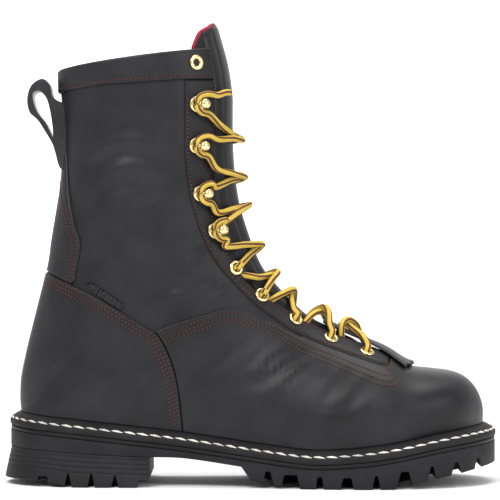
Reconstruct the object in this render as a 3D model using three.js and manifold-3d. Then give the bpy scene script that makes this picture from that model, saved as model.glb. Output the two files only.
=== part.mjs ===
import * as THREE from 'three';
import { mergeVertices } from 'three/addons/utils/BufferGeometryUtils.js';
import Module from 'manifold-3d';

// A laced logger boot for the right foot, in millimetres.
// +X points to the toe, +Z up and +Y to the medial (inner) side of the foot.
// The origin is the middle of the heel's flat rest on the floor.

const wasm = await Module();
wasm.setup();

// Driving sizes.
const featherLength = 288.8; // length of the line where upper and sole meet
const heelBack = 9.5; // how far that line starts in front of the heel's lowest back edge
const ballWidth = 101; // width of that line at the ball
const shaftHeight = 270; // from the floor to the front of the collar
const heelHeight = 44.7; // from the floor to the feather line at the back
const wall = 2.2; // leather of the quarters
const overlay = 1.4; // leather of the panels sewn onto it
const seat = 0.3; // clearance between neighbouring pieces
const weltReach = 6.5; // how far the welt stands out at the heel
const weltReachToe = 1.4; // what it gains towards the toe
const weltDrop = 5.8; // how far its top slopes down
const weltDepth = 9; // depth of the welt under the feather line
const weltSeat = 0.5; // clearance between the welt's top and the upper
const weltInside = 9; // how far the welt reaches in under the upper
const midsoleDepth = 2.7;
const insoleDepth = 3.5;
const eyeletRadius = 4.7;
const eyeletHole = 2;
const eyeletBarrel = 2.5;
const hookRadius = 5;
const laceRadius = 2;
const strapHalf = 11; // half of the pull loop's width
const rows = 28; // sections along the upper
const columns = 7; // points on each half of a section

const skinOut = 0; // outer face of the panels
const skinPanel = -overlay; // inner face of the panels
const panelSeat = 0.4; // clearance between a panel and the quarter under it
const skinUpper = skinPanel - panelSeat; // outer face of the quarters
const skinInner = skinUpper - wall; // inner face of the quarters

// Half widths of the feather line, from heel to toe in equal steps of angle, as shares of
// ballWidth: lateral, medial.
const featherTable = [
  { lateral: 0, medial: 0 },
  { lateral: 0.178, medial: 0.173 },
  { lateral: 0.292, medial: 0.282 },
  { lateral: 0.337, medial: 0.322 },
  { lateral: 0.347, medial: 0.312 },
  { lateral: 0.351, medial: 0.292 },
  { lateral: 0.401, medial: 0.312 },
  { lateral: 0.475, medial: 0.406 },
  { lateral: 0.505, medial: 0.495 },
  { lateral: 0.46, medial: 0.5 },
  { lateral: 0.356, medial: 0.426 },
  { lateral: 0.17, medial: 0.29 },
  { lateral: -0.06, medial: 0.06 },
];

// Heights along the boot, as shares of heelHeight: the feather line, the underside of the outsole
// between its lugs, and the ground line of the lugs. x is a share of featherLength.
const sideTable = [
  { x: -0.0329, feather: 1.025, under: 0.5369, ground: 0.0917 },
  { x: 0.0364, feather: 0.9754, under: 0.5034, ground: 0.085 },
  { x: 0.0848, feather: 0.9441, under: 0.481, ground: 0.0447 },
  { x: 0.1264, feather: 0.9172, under: 0.4631, ground: 0 },
  { x: 0.1783, feather: 0.8814, under: 0.4452, ground: 0 },
  { x: 0.2822, feather: 0.8076, under: 0.4116, ground: 0 },
  { x: 0.3549, feather: 0.7517, under: 0.396, ground: 0.1342 },
  { x: 0.4726, feather: 0.6443, under: 0.2931, ground: 0.1342 },
  { x: 0.5107, feather: 0.6107, under: 0.2528, ground: 0.094 },
  { x: 0.5488, feather: 0.5794, under: 0.2148, ground: 0.047 },
  { x: 0.6008, feather: 0.5391, under: 0.1767, ground: 0 },
  { x: 0.6458, feather: 0.528, under: 0.1655, ground: 0 },
  { x: 0.6977, feather: 0.5481, under: 0.1588, ground: 0 },
  { x: 0.7497, feather: 0.5794, under: 0.179, ground: 0 },
  { x: 0.7981, feather: 0.6264, under: 0.2237, ground: 0 },
  { x: 0.8362, feather: 0.6711, under: 0.2573, ground: 0.0582 },
  { x: 0.8743, feather: 0.7226, under: 0.2998, ground: 0.1208 },
  { x: 0.9262, feather: 0.7785, under: 0.3445, ground: 0.1834 },
  { x: 0.9782, feather: 0.8233, under: 0.387, ground: 0.2506 },
  { x: 1.03, feather: 0.8546, under: 0.4161, ground: 0.2998 },
];

// A table's rows with the names of its columns.
function named(names, rowList) {
  const keys = names.split(' ');
  return rowList.map((row) => Object.fromEntries(row.map((value, k) => [keys[k], value])));
}

// Sections of the upper, from the toe over the instep and round the heel to the collar. Each one
// lies in the plane through its ridge point and its base point. X is a share of featherLength, Z of
// shaftHeight, and lateral, medial, mid and gap are shares of ballWidth: the half widths, the
// middle line's shift and the half width of the throat. baseZ counts from the heel up, past the
// sections whose base lies on the feather line. widest is the height of the widest place
// as a share of the section, and round the fullness of its corners, where 2 is an ellipse.
const sectionTable = named('ridgeX ridgeZ baseX baseZ lateral medial mid widest round gap', [
  [1.001, 0.1648, 1, 0, 0, 0, 0.059, 0.3, 2.1, 0],
  [0.9979, 0.1833, 0.9976, 0, 0.095, 0.095, 0.059, 0.3, 2.1, 0],
  [0.9893, 0.2074, 0.9886, 0, 0.188, 0.188, 0.059, 0.32, 2.2, 0],
  [0.9747, 0.2296, 0.9733, 0, 0.282, 0.282, 0.059, 0.33, 2.3, 0],
  [0.9539, 0.2467, 0.9519, 0, 0.371, 0.361, 0.055, 0.34, 2.35, 0],
  [0.9245, 0.2567, 0.9228, 0, 0.441, 0.421, 0.05, 0.34, 2.35, 0],
  [0.883, 0.2615, 0.8812, 0, 0.495, 0.465, 0.042, 0.34, 2.3, 0],
  [0.8362, 0.2689, 0.8328, 0, 0.53, 0.5, 0.034, 0.33, 2.1, 0],
  [0.7843, 0.303, 0.7774, 0, 0.54, 0.51, 0.026, 0.3, 1.9, 0.082],
  [0.7289, 0.329, 0.7185, 0, 0.535, 0.5, 0.02, 0.27, 1.75, 0.105],
  [0.6735, 0.357, 0.6596, 0, 0.52, 0.47, 0.015, 0.25, 1.65, 0.12],
  [0.6215, 0.388, 0.5973, 0, 0.49, 0.436, 0.01, 0.24, 1.62, 0.138],
  [0.5817, 0.4265, 0.5142, 0, 0.446, 0.401, 0.006, 0.24, 1.65, 0.152],
  [0.5523, 0.4605, 0.4172, 0, 0.401, 0.381, 0.003, 0.25, 1.7, 0.168],
  [0.528, 0.4926, 0.3203, 0, 0.381, 0.366, 0, 0.28, 1.77, 0.18],
  [0.5107, 0.5296, 0.2233, 0, 0.376, 0.361, 0, 0.32, 1.85, 0.192],
  [0.4979, 0.5667, 0.1298, 0, 0.376, 0.361, 0, 0.36, 1.95, 0.204],
  [0.4886, 0.5963, 0.0537, 0, 0.376, 0.366, 0, 0.42, 2, 0.212],
  [0.4823, 0.6185, 0.0121, 0, 0.376, 0.366, 0, 0.46, 2, 0.22],
  [0.4778, 0.637, 0, 0, 0.376, 0.371, 0, 0.49, 2, 0.226],
  [0.474, 0.6556, -0.001, 0.2296, 0.376, 0.371, 0, 0.5, 2, 0.232],
  [0.4706, 0.6778, 0.0087, 0.2889, 0.376, 0.371, 0, 0.51, 2, 0.238],
  [0.4671, 0.7074, 0.0256, 0.363, 0.376, 0.376, 0, 0.51, 2, 0.242],
  [0.4643, 0.7407, 0.044, 0.437, 0.381, 0.381, 0, 0.51, 2, 0.245],
  [0.4626, 0.7778, 0.0589, 0.5, 0.391, 0.391, 0, 0.51, 2, 0.248],
  [0.4619, 0.8148, 0.0658, 0.5593, 0.401, 0.401, 0, 0.51, 2, 0.248],
  [0.4619, 0.8519, 0.0738, 0.6185, 0.411, 0.411, 0, 0.51, 2, 0.248],
  [0.4619, 0.8852, 0.0817, 0.6778, 0.421, 0.421, 0, 0.51, 2, 0.248],
  [0.4591, 0.9148, 0.0866, 0.7407, 0.426, 0.426, 0, 0.51, 2, 0.248],
  [0.455, 0.9444, 0.0862, 0.8074, 0.431, 0.431, 0, 0.51, 2, 0.248],
  [0.4498, 0.9722, 0.0807, 0.8778, 0.436, 0.436, 0, 0.51, 2, 0.248],
  [0.4429, 1, 0.0779, 0.9481, 0.436, 0.436, 0, 0.51, 2, 0.248],
  [0.4342, 1.033, 0.0765, 0.9889, 0.426, 0.426, 0, 0.51, 2, 0.248],
  [0.4259, 1.067, 0.0751, 1.03, 0.416, 0.416, 0, 0.51, 2, 0.248],
]);
const collarAt = sectionTable.length - 3; // the section that is the collar's edge
const throatAt = 7.35; // where the throat starts, counted in sections from the toe
const lastHeelSection = 19; // the last section whose base lies on the feather line

const lerp = THREE.MathUtils.lerp;
const clamp = THREE.MathUtils.clamp;

// A smooth value between the rows of a table, counted in rows.
function along(table, key, at) {
  const i = clamp(Math.floor(at), 0, table.length - 2);
  const f = at - i;
  const p1 = table[i][key];
  const p2 = table[i + 1][key];
  const p0 = i > 0 ? table[i - 1][key] : 2 * p1 - p2;
  const p3 = i + 2 < table.length ? table[i + 2][key] : 2 * p2 - p1;
  const m1 = (p2 - p0) / 2;
  const m2 = (p3 - p1) / 2;
  const f2 = f * f;
  const f3 = f2 * f;
  return (2 * f3 - 3 * f2 + 1) * p1 + (f3 - 2 * f2 + f) * m1 + (3 * f2 - 2 * f3) * p2 + (f3 - f2) * m2;
}

// A smooth value of a table whose rows lie at their own x.
function byX(table, key, x) {
  let i = 0;
  while (i < table.length - 2 && table[i + 1].x < x) i += 1;
  const a = table[i];
  const b = table[i + 1];
  const before = table[Math.max(0, i - 1)];
  const after = table[Math.min(table.length - 1, i + 2)];
  const span = b.x - a.x;
  const f = clamp((x - a.x) / span, 0, 1);
  const slope = (b[key] - a[key]) / span;
  const m1 = i > 0 ? (b[key] - before[key]) / (b.x - before.x) : slope;
  const m2 = i + 2 < table.length ? (after[key] - a[key]) / (after.x - a.x) : slope;
  const f2 = f * f;
  const f3 = f2 * f;
  return (
    (2 * f3 - 3 * f2 + 1) * a[key] +
    (f3 - 2 * f2 + f) * m1 * span +
    (3 * f2 - 2 * f3) * b[key] +
    (f3 - f2) * m2 * span
  );
}

const shareX = (x) => (x - heelBack) / featherLength;
const fromX = (share) => heelBack + featherLength * share;
const featherZ = (x) => heelHeight * byX(sideTable, 'feather', shareX(x));
const underZ = (x) => heelHeight * byX(sideTable, 'under', shareX(x));
const groundZ = (x) => Math.max(0, heelHeight * byX(sideTable, 'ground', shareX(x)));

// Half width of the feather line at x on one side.
function featherHalf(x, side) {
  const share = clamp((x - heelBack) / featherLength, 0, 1);
  const turn = Math.acos(1 - 2 * share) / Math.PI;
  return ballWidth * along(featherTable, side, turn * (featherTable.length - 1));
}

// Turns points and faces into a geometry whose shared vertices are one.
function solidGeometry(points, faces) {
  const geometry = new THREE.BufferGeometry();
  geometry.setAttribute('position', new THREE.Float32BufferAttribute(points.flat(), 3));
  geometry.setIndex(faces.flat());
  const merged = mergeVertices(geometry, 1e-3);
  const index = merged.index.array;
  const kept = [];
  for (let i = 0; i < index.length; i += 3) {
    const a = index[i];
    const b = index[i + 1];
    const c = index[i + 2];
    if (a !== b && b !== c && a !== c) kept.push(a, b, c);
  }
  merged.setIndex(kept);
  return merged;
}

function toManifold(geometry) {
  const bare = new THREE.BufferGeometry();
  bare.setAttribute('position', geometry.getAttribute('position').clone());
  if (geometry.index) bare.setIndex(geometry.index.clone());
  const merged = mergeVertices(bare, 1e-4);
  const mesh = new wasm.Mesh({
    numProp: 3,
    vertProperties: new Float32Array(merged.getAttribute('position').array),
    triVerts: new Uint32Array(merged.index.array),
  });
  return new wasm.Manifold(mesh);
}

function toGeometry(manifold) {
  const mesh = manifold.getMesh();
  const geometry = new THREE.BufferGeometry();
  geometry.setAttribute('position', new THREE.BufferAttribute(new Float32Array(mesh.vertProperties), 3));
  geometry.setIndex(new THREE.BufferAttribute(new Uint32Array(mesh.triVerts), 1));
  return geometry;
}

// One half of a section, from its ridge to its base, as points [along the plane, across].
// Along the plane is 1 at the ridge and 0 at the base.
function halfSection(at, side) {
  const half = Math.max(0, ballWidth * along(sectionTable, side, at));
  const mid = ballWidth * along(sectionTable, 'mid', at);
  const widest = along(sectionTable, 'widest', at);
  const power = 2 / along(sectionTable, 'round', at);
  const baseX = sectionBase(at).x;
  const sign = side === 'medial' ? 1 : -1;
  let baseHalf = 0;
  if (at < lastHeelSection) baseHalf = Math.max(0, featherHalf(baseX, side) + sign * -mid);
  const reach = Math.max(half, baseHalf + 0.01);
  const endTurn = Math.PI - Math.asin(clamp((baseHalf / reach) ** (1 / power), 0, 1));
  const low = Math.abs(Math.cos(endTurn)) ** power;
  const points = [];
  const fine = 24;
  for (let i = 0; i <= 2 * fine; i += 1) {
    const turn = i <= fine ? (i / fine) * (Math.PI / 2) : lerp(Math.PI / 2, endTurn, (i - fine) / fine);
    const across = reach * Math.sin(turn) ** power;
    const c = Math.abs(Math.cos(turn)) ** power;
    const height = i <= fine ? widest + (1 - widest) * c : widest - (widest * c) / Math.max(low, 1e-6);
    points.push([height, across]);
  }
  points[0] = [1, 0];
  points[2 * fine] = [0, half < 0.02 ? 0 : baseHalf];
  return points.map(([h, across]) => [h, mid + sign * across]);
}

const backTable = sectionTable.map((row, i) => ({
  baseZ: i <= lastHeelSection ? heelHeight / shaftHeight : row.baseZ,
}));

// The lower end of a section: on the feather line, and from the heel up on the back seam.
function sectionBase(at) {
  const x = fromX(along(sectionTable, 'baseX', at));
  if (at <= lastHeelSection) return { x, z: featherZ(x) };
  return { x, z: shaftHeight * along(backTable, 'baseZ', at) };
}

function sectionRidge(at) {
  return { x: fromX(along(sectionTable, 'ridgeX', at)), z: shaftHeight * along(sectionTable, 'ridgeZ', at) };
}

// A point of the outermost form: share runs from 0 at the ridge to 1 at the base.
function sectionPoints(at, side, shares) {
  const flat = halfSection(at, side);
  const ridge = sectionRidge(at);
  const base = sectionBase(at);
  const spotAt = ([h, y]) => new THREE.Vector3(lerp(base.x, ridge.x, h), y, lerp(base.z, ridge.z, h));
  const spots = flat.map(spotAt);
  const reach = [0];
  for (let i = 1; i < spots.length; i += 1) reach.push(reach[i - 1] + spots[i].distanceTo(spots[i - 1]));
  const total = reach[reach.length - 1];
  return shares.map((share) => {
    const want = share * total;
    let i = 1;
    while (i < reach.length - 1 && reach[i] < want) i += 1;
    const span = reach[i] - reach[i - 1];
    return spots[i - 1].clone().lerp(spots[i], span > 0 ? clamp((want - reach[i - 1]) / span, 0, 1) : 0);
  });
}

const sideNames = ['lateral', 'medial'];
const rowsAt = [];
for (let i = 0; i <= rows; i += 1) {
  const share = i / rows;
  rowsAt.push(collarAt * (share + 0.12 * Math.sin(2 * Math.PI * share) / Math.PI));
}
const rowsPast = [...rowsAt, collarAt + 1, collarAt + 2];
const columnShares = Array.from({ length: columns + 1 }, (_, j) => j / columns);

// The form's grid with its normals, past the collar as well.
const formGrid = sideNames.map((side) => rowsPast.map((at) => sectionPoints(at, side, columnShares)));
const formNormals = (() => {
  const key = (p) => `${Math.round(p.x * 500)},${Math.round(p.y * 500)},${Math.round(p.z * 500)}`;
  const sums = new Map();
  const add = (p, n) => {
    const k = key(p);
    if (!sums.has(k)) sums.set(k, new THREE.Vector3());
    sums.get(k).add(n);
  };
  const face = (a, b, c) => {
    const n = b.clone().sub(a).cross(c.clone().sub(a));
    if (n.lengthSq() < 1e-9) return;
    for (const p of [a, b, c]) add(p, n);
  };
  formGrid.forEach((grid, s) => {
    for (let i = 0; i + 1 < grid.length; i += 1) {
      for (let j = 0; j < columns; j += 1) {
        const quad = [grid[i][j], grid[i + 1][j], grid[i + 1][j + 1], grid[i][j + 1]];
        if (s === 1) quad.reverse();
        face(quad[0], quad[1], quad[2]);
        face(quad[0], quad[2], quad[3]);
      }
    }
  });
  return formGrid.map((grid) => grid.map((row) => row.map((p) => sums.get(key(p)).clone().normalize())));
})();

// A closed body of the boot's form at an offset from its outer face. It goes on under the feather
// line by over, and past the collar when it has to cut the body around it open.
function formBody(offset, over, past) {
  const points = [];
  const faces = [];
  const count = past ? rowsPast.length : rows + 1;
  const spot = (s, i, j) => {
    const p = formGrid[s][i][Math.min(j, columns)].clone();
    p.addScaledVector(formNormals[s][i][Math.min(j, columns)], offset);
    if (j >= columns && rowsPast[i] < lastHeelSection) p.z = featherZ(p.x) - (j > columns ? over : 0);
    return [p.x, p.y, p.z];
  };
  const wide = over > 0 ? columns + 1 : columns;
  const at = (s, i, j) => (s * count + i) * (wide + 1) + j;
  for (let s = 0; s < 2; s += 1) {
    for (let i = 0; i < count; i += 1) {
      for (let j = 0; j <= wide; j += 1) points.push(spot(s, i, j));
    }
  }
  const quad = (a, b, c, d, flip) => {
    if (flip) faces.push([a, c, b], [a, d, c]);
    else faces.push([a, b, c], [a, c, d]);
  };
  for (let s = 0; s < 2; s += 1) {
    for (let i = 0; i + 1 < count; i += 1) {
      for (let j = 0; j < wide; j += 1) {
        quad(at(s, i, j), at(s, i + 1, j), at(s, i + 1, j + 1), at(s, i, j + 1), s === 1);
      }
    }
  }
  for (let i = 0; i + 1 < count; i += 1) {
    quad(at(0, i, wide), at(0, i + 1, wide), at(1, i + 1, wide), at(1, i, wide), false);
  }
  const top = count - 1;
  for (let j = 0; j < wide; j += 1) {
    quad(at(0, top, j), at(1, top, j), at(1, top, j + 1), at(0, top, j + 1), false);
  }
  const foot = 0;
  for (let j = 0; j < wide; j += 1) {
    quad(at(0, foot, j), at(0, foot, j + 1), at(1, foot, j + 1), at(1, foot, j), false);
  }
  return toManifold(solidGeometry(points, faces));
}

// Half the gap between the facings.
function throatHalf(at) {
  const full = ballWidth * Math.max(0.084, along(sectionTable, 'gap', at));
  return full * Math.sqrt(clamp((at - throatAt + 0.03) / 0.8, 0, 1));
}

// A point of the form at reach mm from the ridge along its section, moved by offset along its normal.
// Reach is negative on the lateral side.
function formPoint(at, reach, offset) {
  const spotAt = (a, r) => {
    const side = r < 0 ? 'lateral' : 'medial';
    const flat = sectionPoints(a, side, [0, 0.2, 0.4, 0.6, 0.8, 1]);
    let total = 0;
    for (let i = 1; i < flat.length; i += 1) total += flat[i].distanceTo(flat[i - 1]);
    return sectionPoints(a, side, [Math.min(1, Math.abs(r) / total)])[0];
  };
  const here = spotAt(at, reach);
  if (offset === 0) return here;
  const up = spotAt(Math.min(at + 0.2, collarAt + 2), reach).sub(spotAt(at - 0.2, reach));
  const across = spotAt(at, reach + 1.5).sub(spotAt(at, reach - 1.5));
  const normal = across.cross(up).normalize();
  return here.addScaledVector(normal, offset);
}

// The throat's opening: a band along the ridge, as wide as the gap between the facings.
function throatBody() {
  const points = [];
  const faces = [];
  const stations = [throatAt, throatAt + 0.12, throatAt + 0.4];
  for (const at of rowsPast) if (at > throatAt + 0.75) stations.push(at);
  for (const at of stations) {
    const ridge = sectionRidge(at);
    const base = sectionBase(at);
    const mid = ballWidth * along(sectionTable, 'mid', at);
    const inward = new THREE.Vector2(base.x - ridge.x, base.z - ridge.z).normalize();
    const half = Math.max(1.5, throatHalf(at));
    for (const [deep, across] of [[-12, -half], [24, -half], [24, half], [-12, half]]) {
      points.push([ridge.x + inward.x * deep, mid + across, ridge.z + inward.y * deep]);
    }
  }
  const n = stations.length;
  for (let i = 0; i + 1 < n; i += 1) {
    for (let j = 0; j < 4; j += 1) {
      const a = i * 4 + j;
      const b = i * 4 + ((j + 1) % 4);
      faces.push([a, b, b + 4], [a, b + 4, a + 4]);
    }
  }
  faces.push([0, 2, 1], [0, 3, 2]);
  const e = (n - 1) * 4;
  faces.push([e, e + 1, e + 2], [e, e + 2, e + 3]);
  const geometry = solidGeometry(points, faces);
  const body = toManifold(geometry);
  if (body.volume() > 0) return body;
  return toManifold(solidGeometry(points, faces.map(([a, b, c]) => [a, c, b])));
}

const throat = throatBody();

// A loop of the sole's plan: the feather line moved out by reach(x), with its height from level(x).
const loopSteps = 22;
const coarseSteps = 16;
function soleLoop(reach, level, steps = loopSteps) {
  const spots = [];
  for (let i = 0; i < 2 * steps; i += 1) {
    const side = i < steps ? 'lateral' : 'medial';
    const turn = i < steps ? i / steps : 2 - i / steps;
    const x = heelBack + (featherLength * (1 - Math.cos(Math.PI * turn))) / 2;
    const y = featherHalf(x, side) * (side === 'medial' ? 1 : -1);
    spots.push(new THREE.Vector2(x, y));
  }
  const n = spots.length;
  return spots.map((p, i) => {
    const tangent = spots[(i + 1) % n].clone().sub(spots[(i + n - 1) % n]).normalize();
    const out = p.clone().addScaledVector(new THREE.Vector2(tangent.y, -tangent.x), reach(p.x));
    return [out.x, out.y, level(clamp(out.x, fromX(-0.0329), fromX(1.03)))];
  });
}

// Loops one under another as a closed solid: a plate with caps, or a ring when closed on itself.
function stackLoops(loops, ring = false) {
  const points = loops.flat();
  const faces = [];
  const n = loops[0].length;
  const last = ring ? loops.length : loops.length - 1;
  for (let k = 0; k < last; k += 1) {
    const a = k * n;
    const b = ((k + 1) % loops.length) * n;
    for (let i = 0; i < n; i += 1) {
      const j = (i + 1) % n;
      faces.push([a + i, b + i, b + j], [a + i, b + j, a + j]);
    }
  }
  if (!ring) {
    const e = (loops.length - 1) * n;
    for (let i = 0; i + 1 < n / 2; i += 1) {
      const m = (n - i) % n;
      const m1 = n - i - 1;
      faces.push([i, i + 1, m1], [i, m1, m]);
      faces.push([e + i, e + m1, e + i + 1], [e + i, e + m, e + m1]);
    }
    const h = n / 2;
    faces.push([h - 1, h, h + 1]);
    faces.push([e + h - 1, e + h + 1, e + h]);
  }
  return solidGeometry(points, faces);
}

const under = 12; // how far the inner form goes on under the feather line to cut the upper open
const innerForm = formBody(skinInner, under, true);
const upperBody = formBody(skinUpper, 0, false).subtract(innerForm).subtract(throat);

const weltOut = (x) => weltReach + weltReachToe * clamp(shareX(x), 0, 1);
const weltRing = stackLoops(
  [
    soleLoop(() => -weltInside, (x) => featherZ(x) - weltSeat),
    soleLoop(() => 0.4, (x) => featherZ(x) - weltSeat),
    soleLoop(weltOut, (x) => featherZ(x) - weltDrop),
    soleLoop(weltOut, (x) => featherZ(x) - weltDepth),
    soleLoop(() => -weltInside, (x) => featherZ(x) - weltDepth),
  ],
  true,
);

const midsolePlate = stackLoops([
  soleLoop(() => -weltInside - seat, (x) => featherZ(x) - seat),
  soleLoop(() => -weltInside - seat, (x) => featherZ(x) - weltDepth - seat),
  soleLoop((x) => weltOut(x) - 0.6, (x) => featherZ(x) - weltDepth - seat),
  soleLoop((x) => weltOut(x) - 0.6, (x) => featherZ(x) - weltDepth - midsoleDepth),
]);

const insoleEdge = skinInner - seat - 2.3;
const insolePlate = stackLoops([
  soleLoop(() => insoleEdge - 0.8, (x) => featherZ(x) + insoleDepth),
  soleLoop(() => insoleEdge, (x) => featherZ(x) + insoleDepth - 1),
  soleLoop(() => insoleEdge, (x) => featherZ(x) + seat / 3),
]);

const soleTop = (x) => featherZ(x) - weltDepth - midsoleDepth - seat;

// A closed prism across the boot: a side view outline of [x, z] points, from y0 to y1.
function sidePrism(outline, y0, y1) {
  const shape = new THREE.Shape(outline.map(([x, z]) => new THREE.Vector2(x, z)));
  const geometry = new THREE.ExtrudeGeometry(shape, { depth: y1 - y0, bevelEnabled: false, steps: 1 });
  geometry.rotateX(Math.PI / 2);
  geometry.translate(0, y1, 0);
  return toManifold(geometry);
}

// The outsole: a plate with its lugs, cut out of a block that reaches down to the ground line.
const outsoleIn = 0.4; // how far its edge stands back from the welt's
const breast = 0.282; // front face of the heel
const shankEnd = 0.48; // where the lugs begin
const outsoleBlock = toManifold(
  stackLoops([
    soleLoop((x) => weltOut(x) - outsoleIn, soleTop),
    soleLoop((x) => weltOut(x) - outsoleIn, (x) => (shareX(x) < shankEnd ? underZ(x) : groundZ(x))),
  ]),
);

// Notches between the lugs: x of the middle, width at the ground and at the top, all as shares of
// featherLength.
const notchTable = [
  { x: 0.5325, low: 0.0256, high: 0.0097 },
  { x: 0.58, low: 0.0429, high: 0.026 },
  { x: 0.6406, low: 0.0194, high: 0.0097 },
  { x: 0.6977, low: 0.0329, high: 0.0166 },
  { x: 0.7583, low: 0.0215, high: 0.0062 },
  { x: 0.8179, low: 0.0388, high: 0.0166 },
  { x: 0.8757, low: 0.0211, high: 0.0062 },
  { x: 0.929, low: 0.0267, high: 0.0076 },
  { x: 0.9775, low: 0.0194, high: 0.0042 },
];
const notchCut = 2; // how far the cutters go past what they cut
const wide = 90; // half width of a cutter that goes right through
const centreBand = 0.2; // half width of the middle row of lugs, as a share of ballWidth
const grooveWide = 5;
let outsoleBody = outsoleBlock;
notchTable.forEach((notch, i) => {
  const x = fromX(notch.x);
  const top = underZ(x);
  const low = groundZ(x) - notchCut;
  const high = (notch.high * featherLength) / 2;
  const foot = (notch.low * featherLength) / 2;
  const outline = [
    [x - high, top],
    [x + high, top],
    [x + foot, low],
    [x - foot, low],
  ];
  const inner = ballWidth * centreBand;
  if (i < notchTable.length - 1) {
    outsoleBody = outsoleBody.subtract(sidePrism(outline, -wide, -inner));
    outsoleBody = outsoleBody.subtract(sidePrism(outline, inner, wide));
  } else {
    outsoleBody = outsoleBody.subtract(sidePrism(outline, -wide, wide));
  }
});
// The middle row of lugs stands half a step from the outer ones, between two long grooves.
for (let i = 0; i + 1 < notchTable.length; i += 2) {
  const x0 = fromX((notchTable[i].x + notchTable[i + 1].x) / 2);
  const top = Math.max(underZ(x0), underZ(x0 + grooveWide));
  const outline = [
    [x0 - grooveWide / 2, top],
    [x0 + grooveWide / 2, top],
    [x0 + grooveWide / 2, groundZ(x0) - notchCut],
    [x0 - grooveWide / 2, groundZ(x0) - notchCut],
  ];
  outsoleBody = outsoleBody.subtract(sidePrism(outline, -ballWidth * centreBand, ballWidth * centreBand));
}
for (const sign of [-1, 1]) {
  const outline = [];
  for (let i = 1; i < notchTable.length; i += 1) {
    outline.push([fromX(notchTable[i].x), underZ(fromX(notchTable[i].x))]);
  }
  outline.push([fromX(notchTable[notchTable.length - 1].x), -notchCut]);
  outline.push([fromX(notchTable[1].x), -notchCut]);
  const y = sign * ballWidth * centreBand;
  outsoleBody = outsoleBody.subtract(sidePrism(outline, y - grooveWide / 2, y + grooveWide / 2));
}

// The heel: lifts with a ribbed side, wedge notches along its lower edge and a stepped breast.
const heelTop = (x) => underZ(x) - seat;
const heelFlare = 4; // how far the heel widens from its top to the ground
const heelRibs = 4;
const ribDeep = 0.5;
const toeOfRest = 0.257; // front end of the heel's flat rest
const liftStep = 4.8; // height of the step in the breast
const heelLoops = [];
const heelLevel = (share) => (x) => lerp(heelTop(x), groundZ(Math.min(x, fromX(toeOfRest))), share);
const heelReach = (share) => (x) => weltOut(x) - outsoleIn + heelFlare * (share - 0.1);
const heelLoop = (reach, level) => soleLoop(reach, level, coarseSteps);
heelLoops.push(heelLoop(heelReach(0), heelLevel(0)));
for (let k = 0; k < heelRibs; k += 1) {
  const at = 0.08 + (0.62 * k) / heelRibs;
  const groove = (x) => heelReach(at)(x) - ribDeep;
  heelLoops.push(heelLoop(heelReach(at), heelLevel(at)));
  heelLoops.push(heelLoop(groove, heelLevel(at + 0.025)));
  heelLoops.push(heelLoop(groove, heelLevel(at + 0.055)));
  heelLoops.push(heelLoop(heelReach(at + 0.08), heelLevel(at + 0.08)));
}
heelLoops.push(heelLoop(heelReach(1), heelLevel(1)));
const breastX = fromX(breast);
const heelKeep = sidePrism(
  [
    [-20, -20],
    [breastX - 7.3, -20],
    [breastX - 7.3, 0],
    [breastX - 5.6, liftStep],
    [breastX, liftStep],
    [breastX, heelHeight],
    [-20, heelHeight],
  ],
  -wide,
  wide,
);
let heelBody = toManifold(stackLoops(heelLoops)).intersect(heelKeep);
// Notches in the heel's lower edge: x of the middle and widths as shares of featherLength.
const heelNotchTable = [
  { x: 0.058, low: 0.03, high: 0.019, height: 6.5 },
  { x: 0.112, low: 0.02, high: 0.003, height: 8.5 },
  { x: 0.161, low: 0.02, high: 0.003, height: 8.5 },
  { x: 0.211, low: 0.02, high: 0.003, height: 7.5 },
];
const heelNotchDeep = 9;
for (const notch of heelNotchTable) {
  const x = fromX(notch.x);
  const outline = [
    [x - (notch.high * featherLength) / 2, notch.height],
    [x + (notch.high * featherLength) / 2, notch.height],
    [x + (notch.low * featherLength) / 2, -notchCut],
    [x - (notch.low * featherLength) / 2, -notchCut],
  ];
  for (const side of ['lateral', 'medial']) {
    const edge = featherHalf(x, side) + weltOut(x) - heelNotchDeep;
    const span = side === 'medial' ? [edge, wide] : [-wide, -edge];
    heelBody = heelBody.subtract(sidePrism(outline, span[0], span[1]));
  }
}
const heelRestX = fromX(0.19); // middle of the heel's flat rest: the origin

// The tongue: it lies under the facings, swells in the gap between them and rises past the collar.
const tongueFrom = 7; // its lower end under the vamp, counted in sections
const tongueSide = 11; // how far it reaches under each facing
const tongueThick = 4.2;
const tongueTip = 1.72; // how far its tip passes the collar, in sections
const tongueProud = -1; // its face in the gap, from the outermost form
const tongueRows = 18;
const tongueColumns = 8;
const tongueUnder = skinInner - seat - 1.3;

function tongueSpot(row, column, deep) {
  const across = (2 * column) / tongueColumns - 1;
  const top = collarAt + 0.2 + (tongueTip - 0.2) * (1 - Math.abs(across) ** 2.6);
  const at = lerp(tongueFrom, top, row / tongueRows);
  const half = throatHalf(Math.min(at, collarAt)) + tongueSide * clamp((at - tongueFrom + 2.4) / 3, 0, 1);
  const reach = across * half;
  const clear = throatHalf(Math.min(at, collarAt)) - 1 - Math.abs(reach);
  const inGap = THREE.MathUtils.smoothstep(clear, 0, 6) * clamp((at - throatAt - 0.6) / 1.2, 0, 1);
  const thick = tongueThick * lerp(1, 0.55, Math.abs(across) ** 3);
  const face = lerp(tongueUnder, tongueProud, inGap);
  return formPoint(at, reach, face - deep * thick).toArray();
}

// Panels sewn onto the quarters. Each outline is its side view: x as a share of featherLength, z of
// shaftHeight. Smooth points are joined by a curve, corners by straight lines.
const mm = ([x, z]) => [fromX(x), z * shaftHeight];
function smooth(points, steps) {
  const curve = new THREE.SplineCurve(points.map(mm).map(([x, z]) => new THREE.Vector2(x, z)));
  return curve.getPoints(steps).map((p) => [p.x, p.y]);
}

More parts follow.
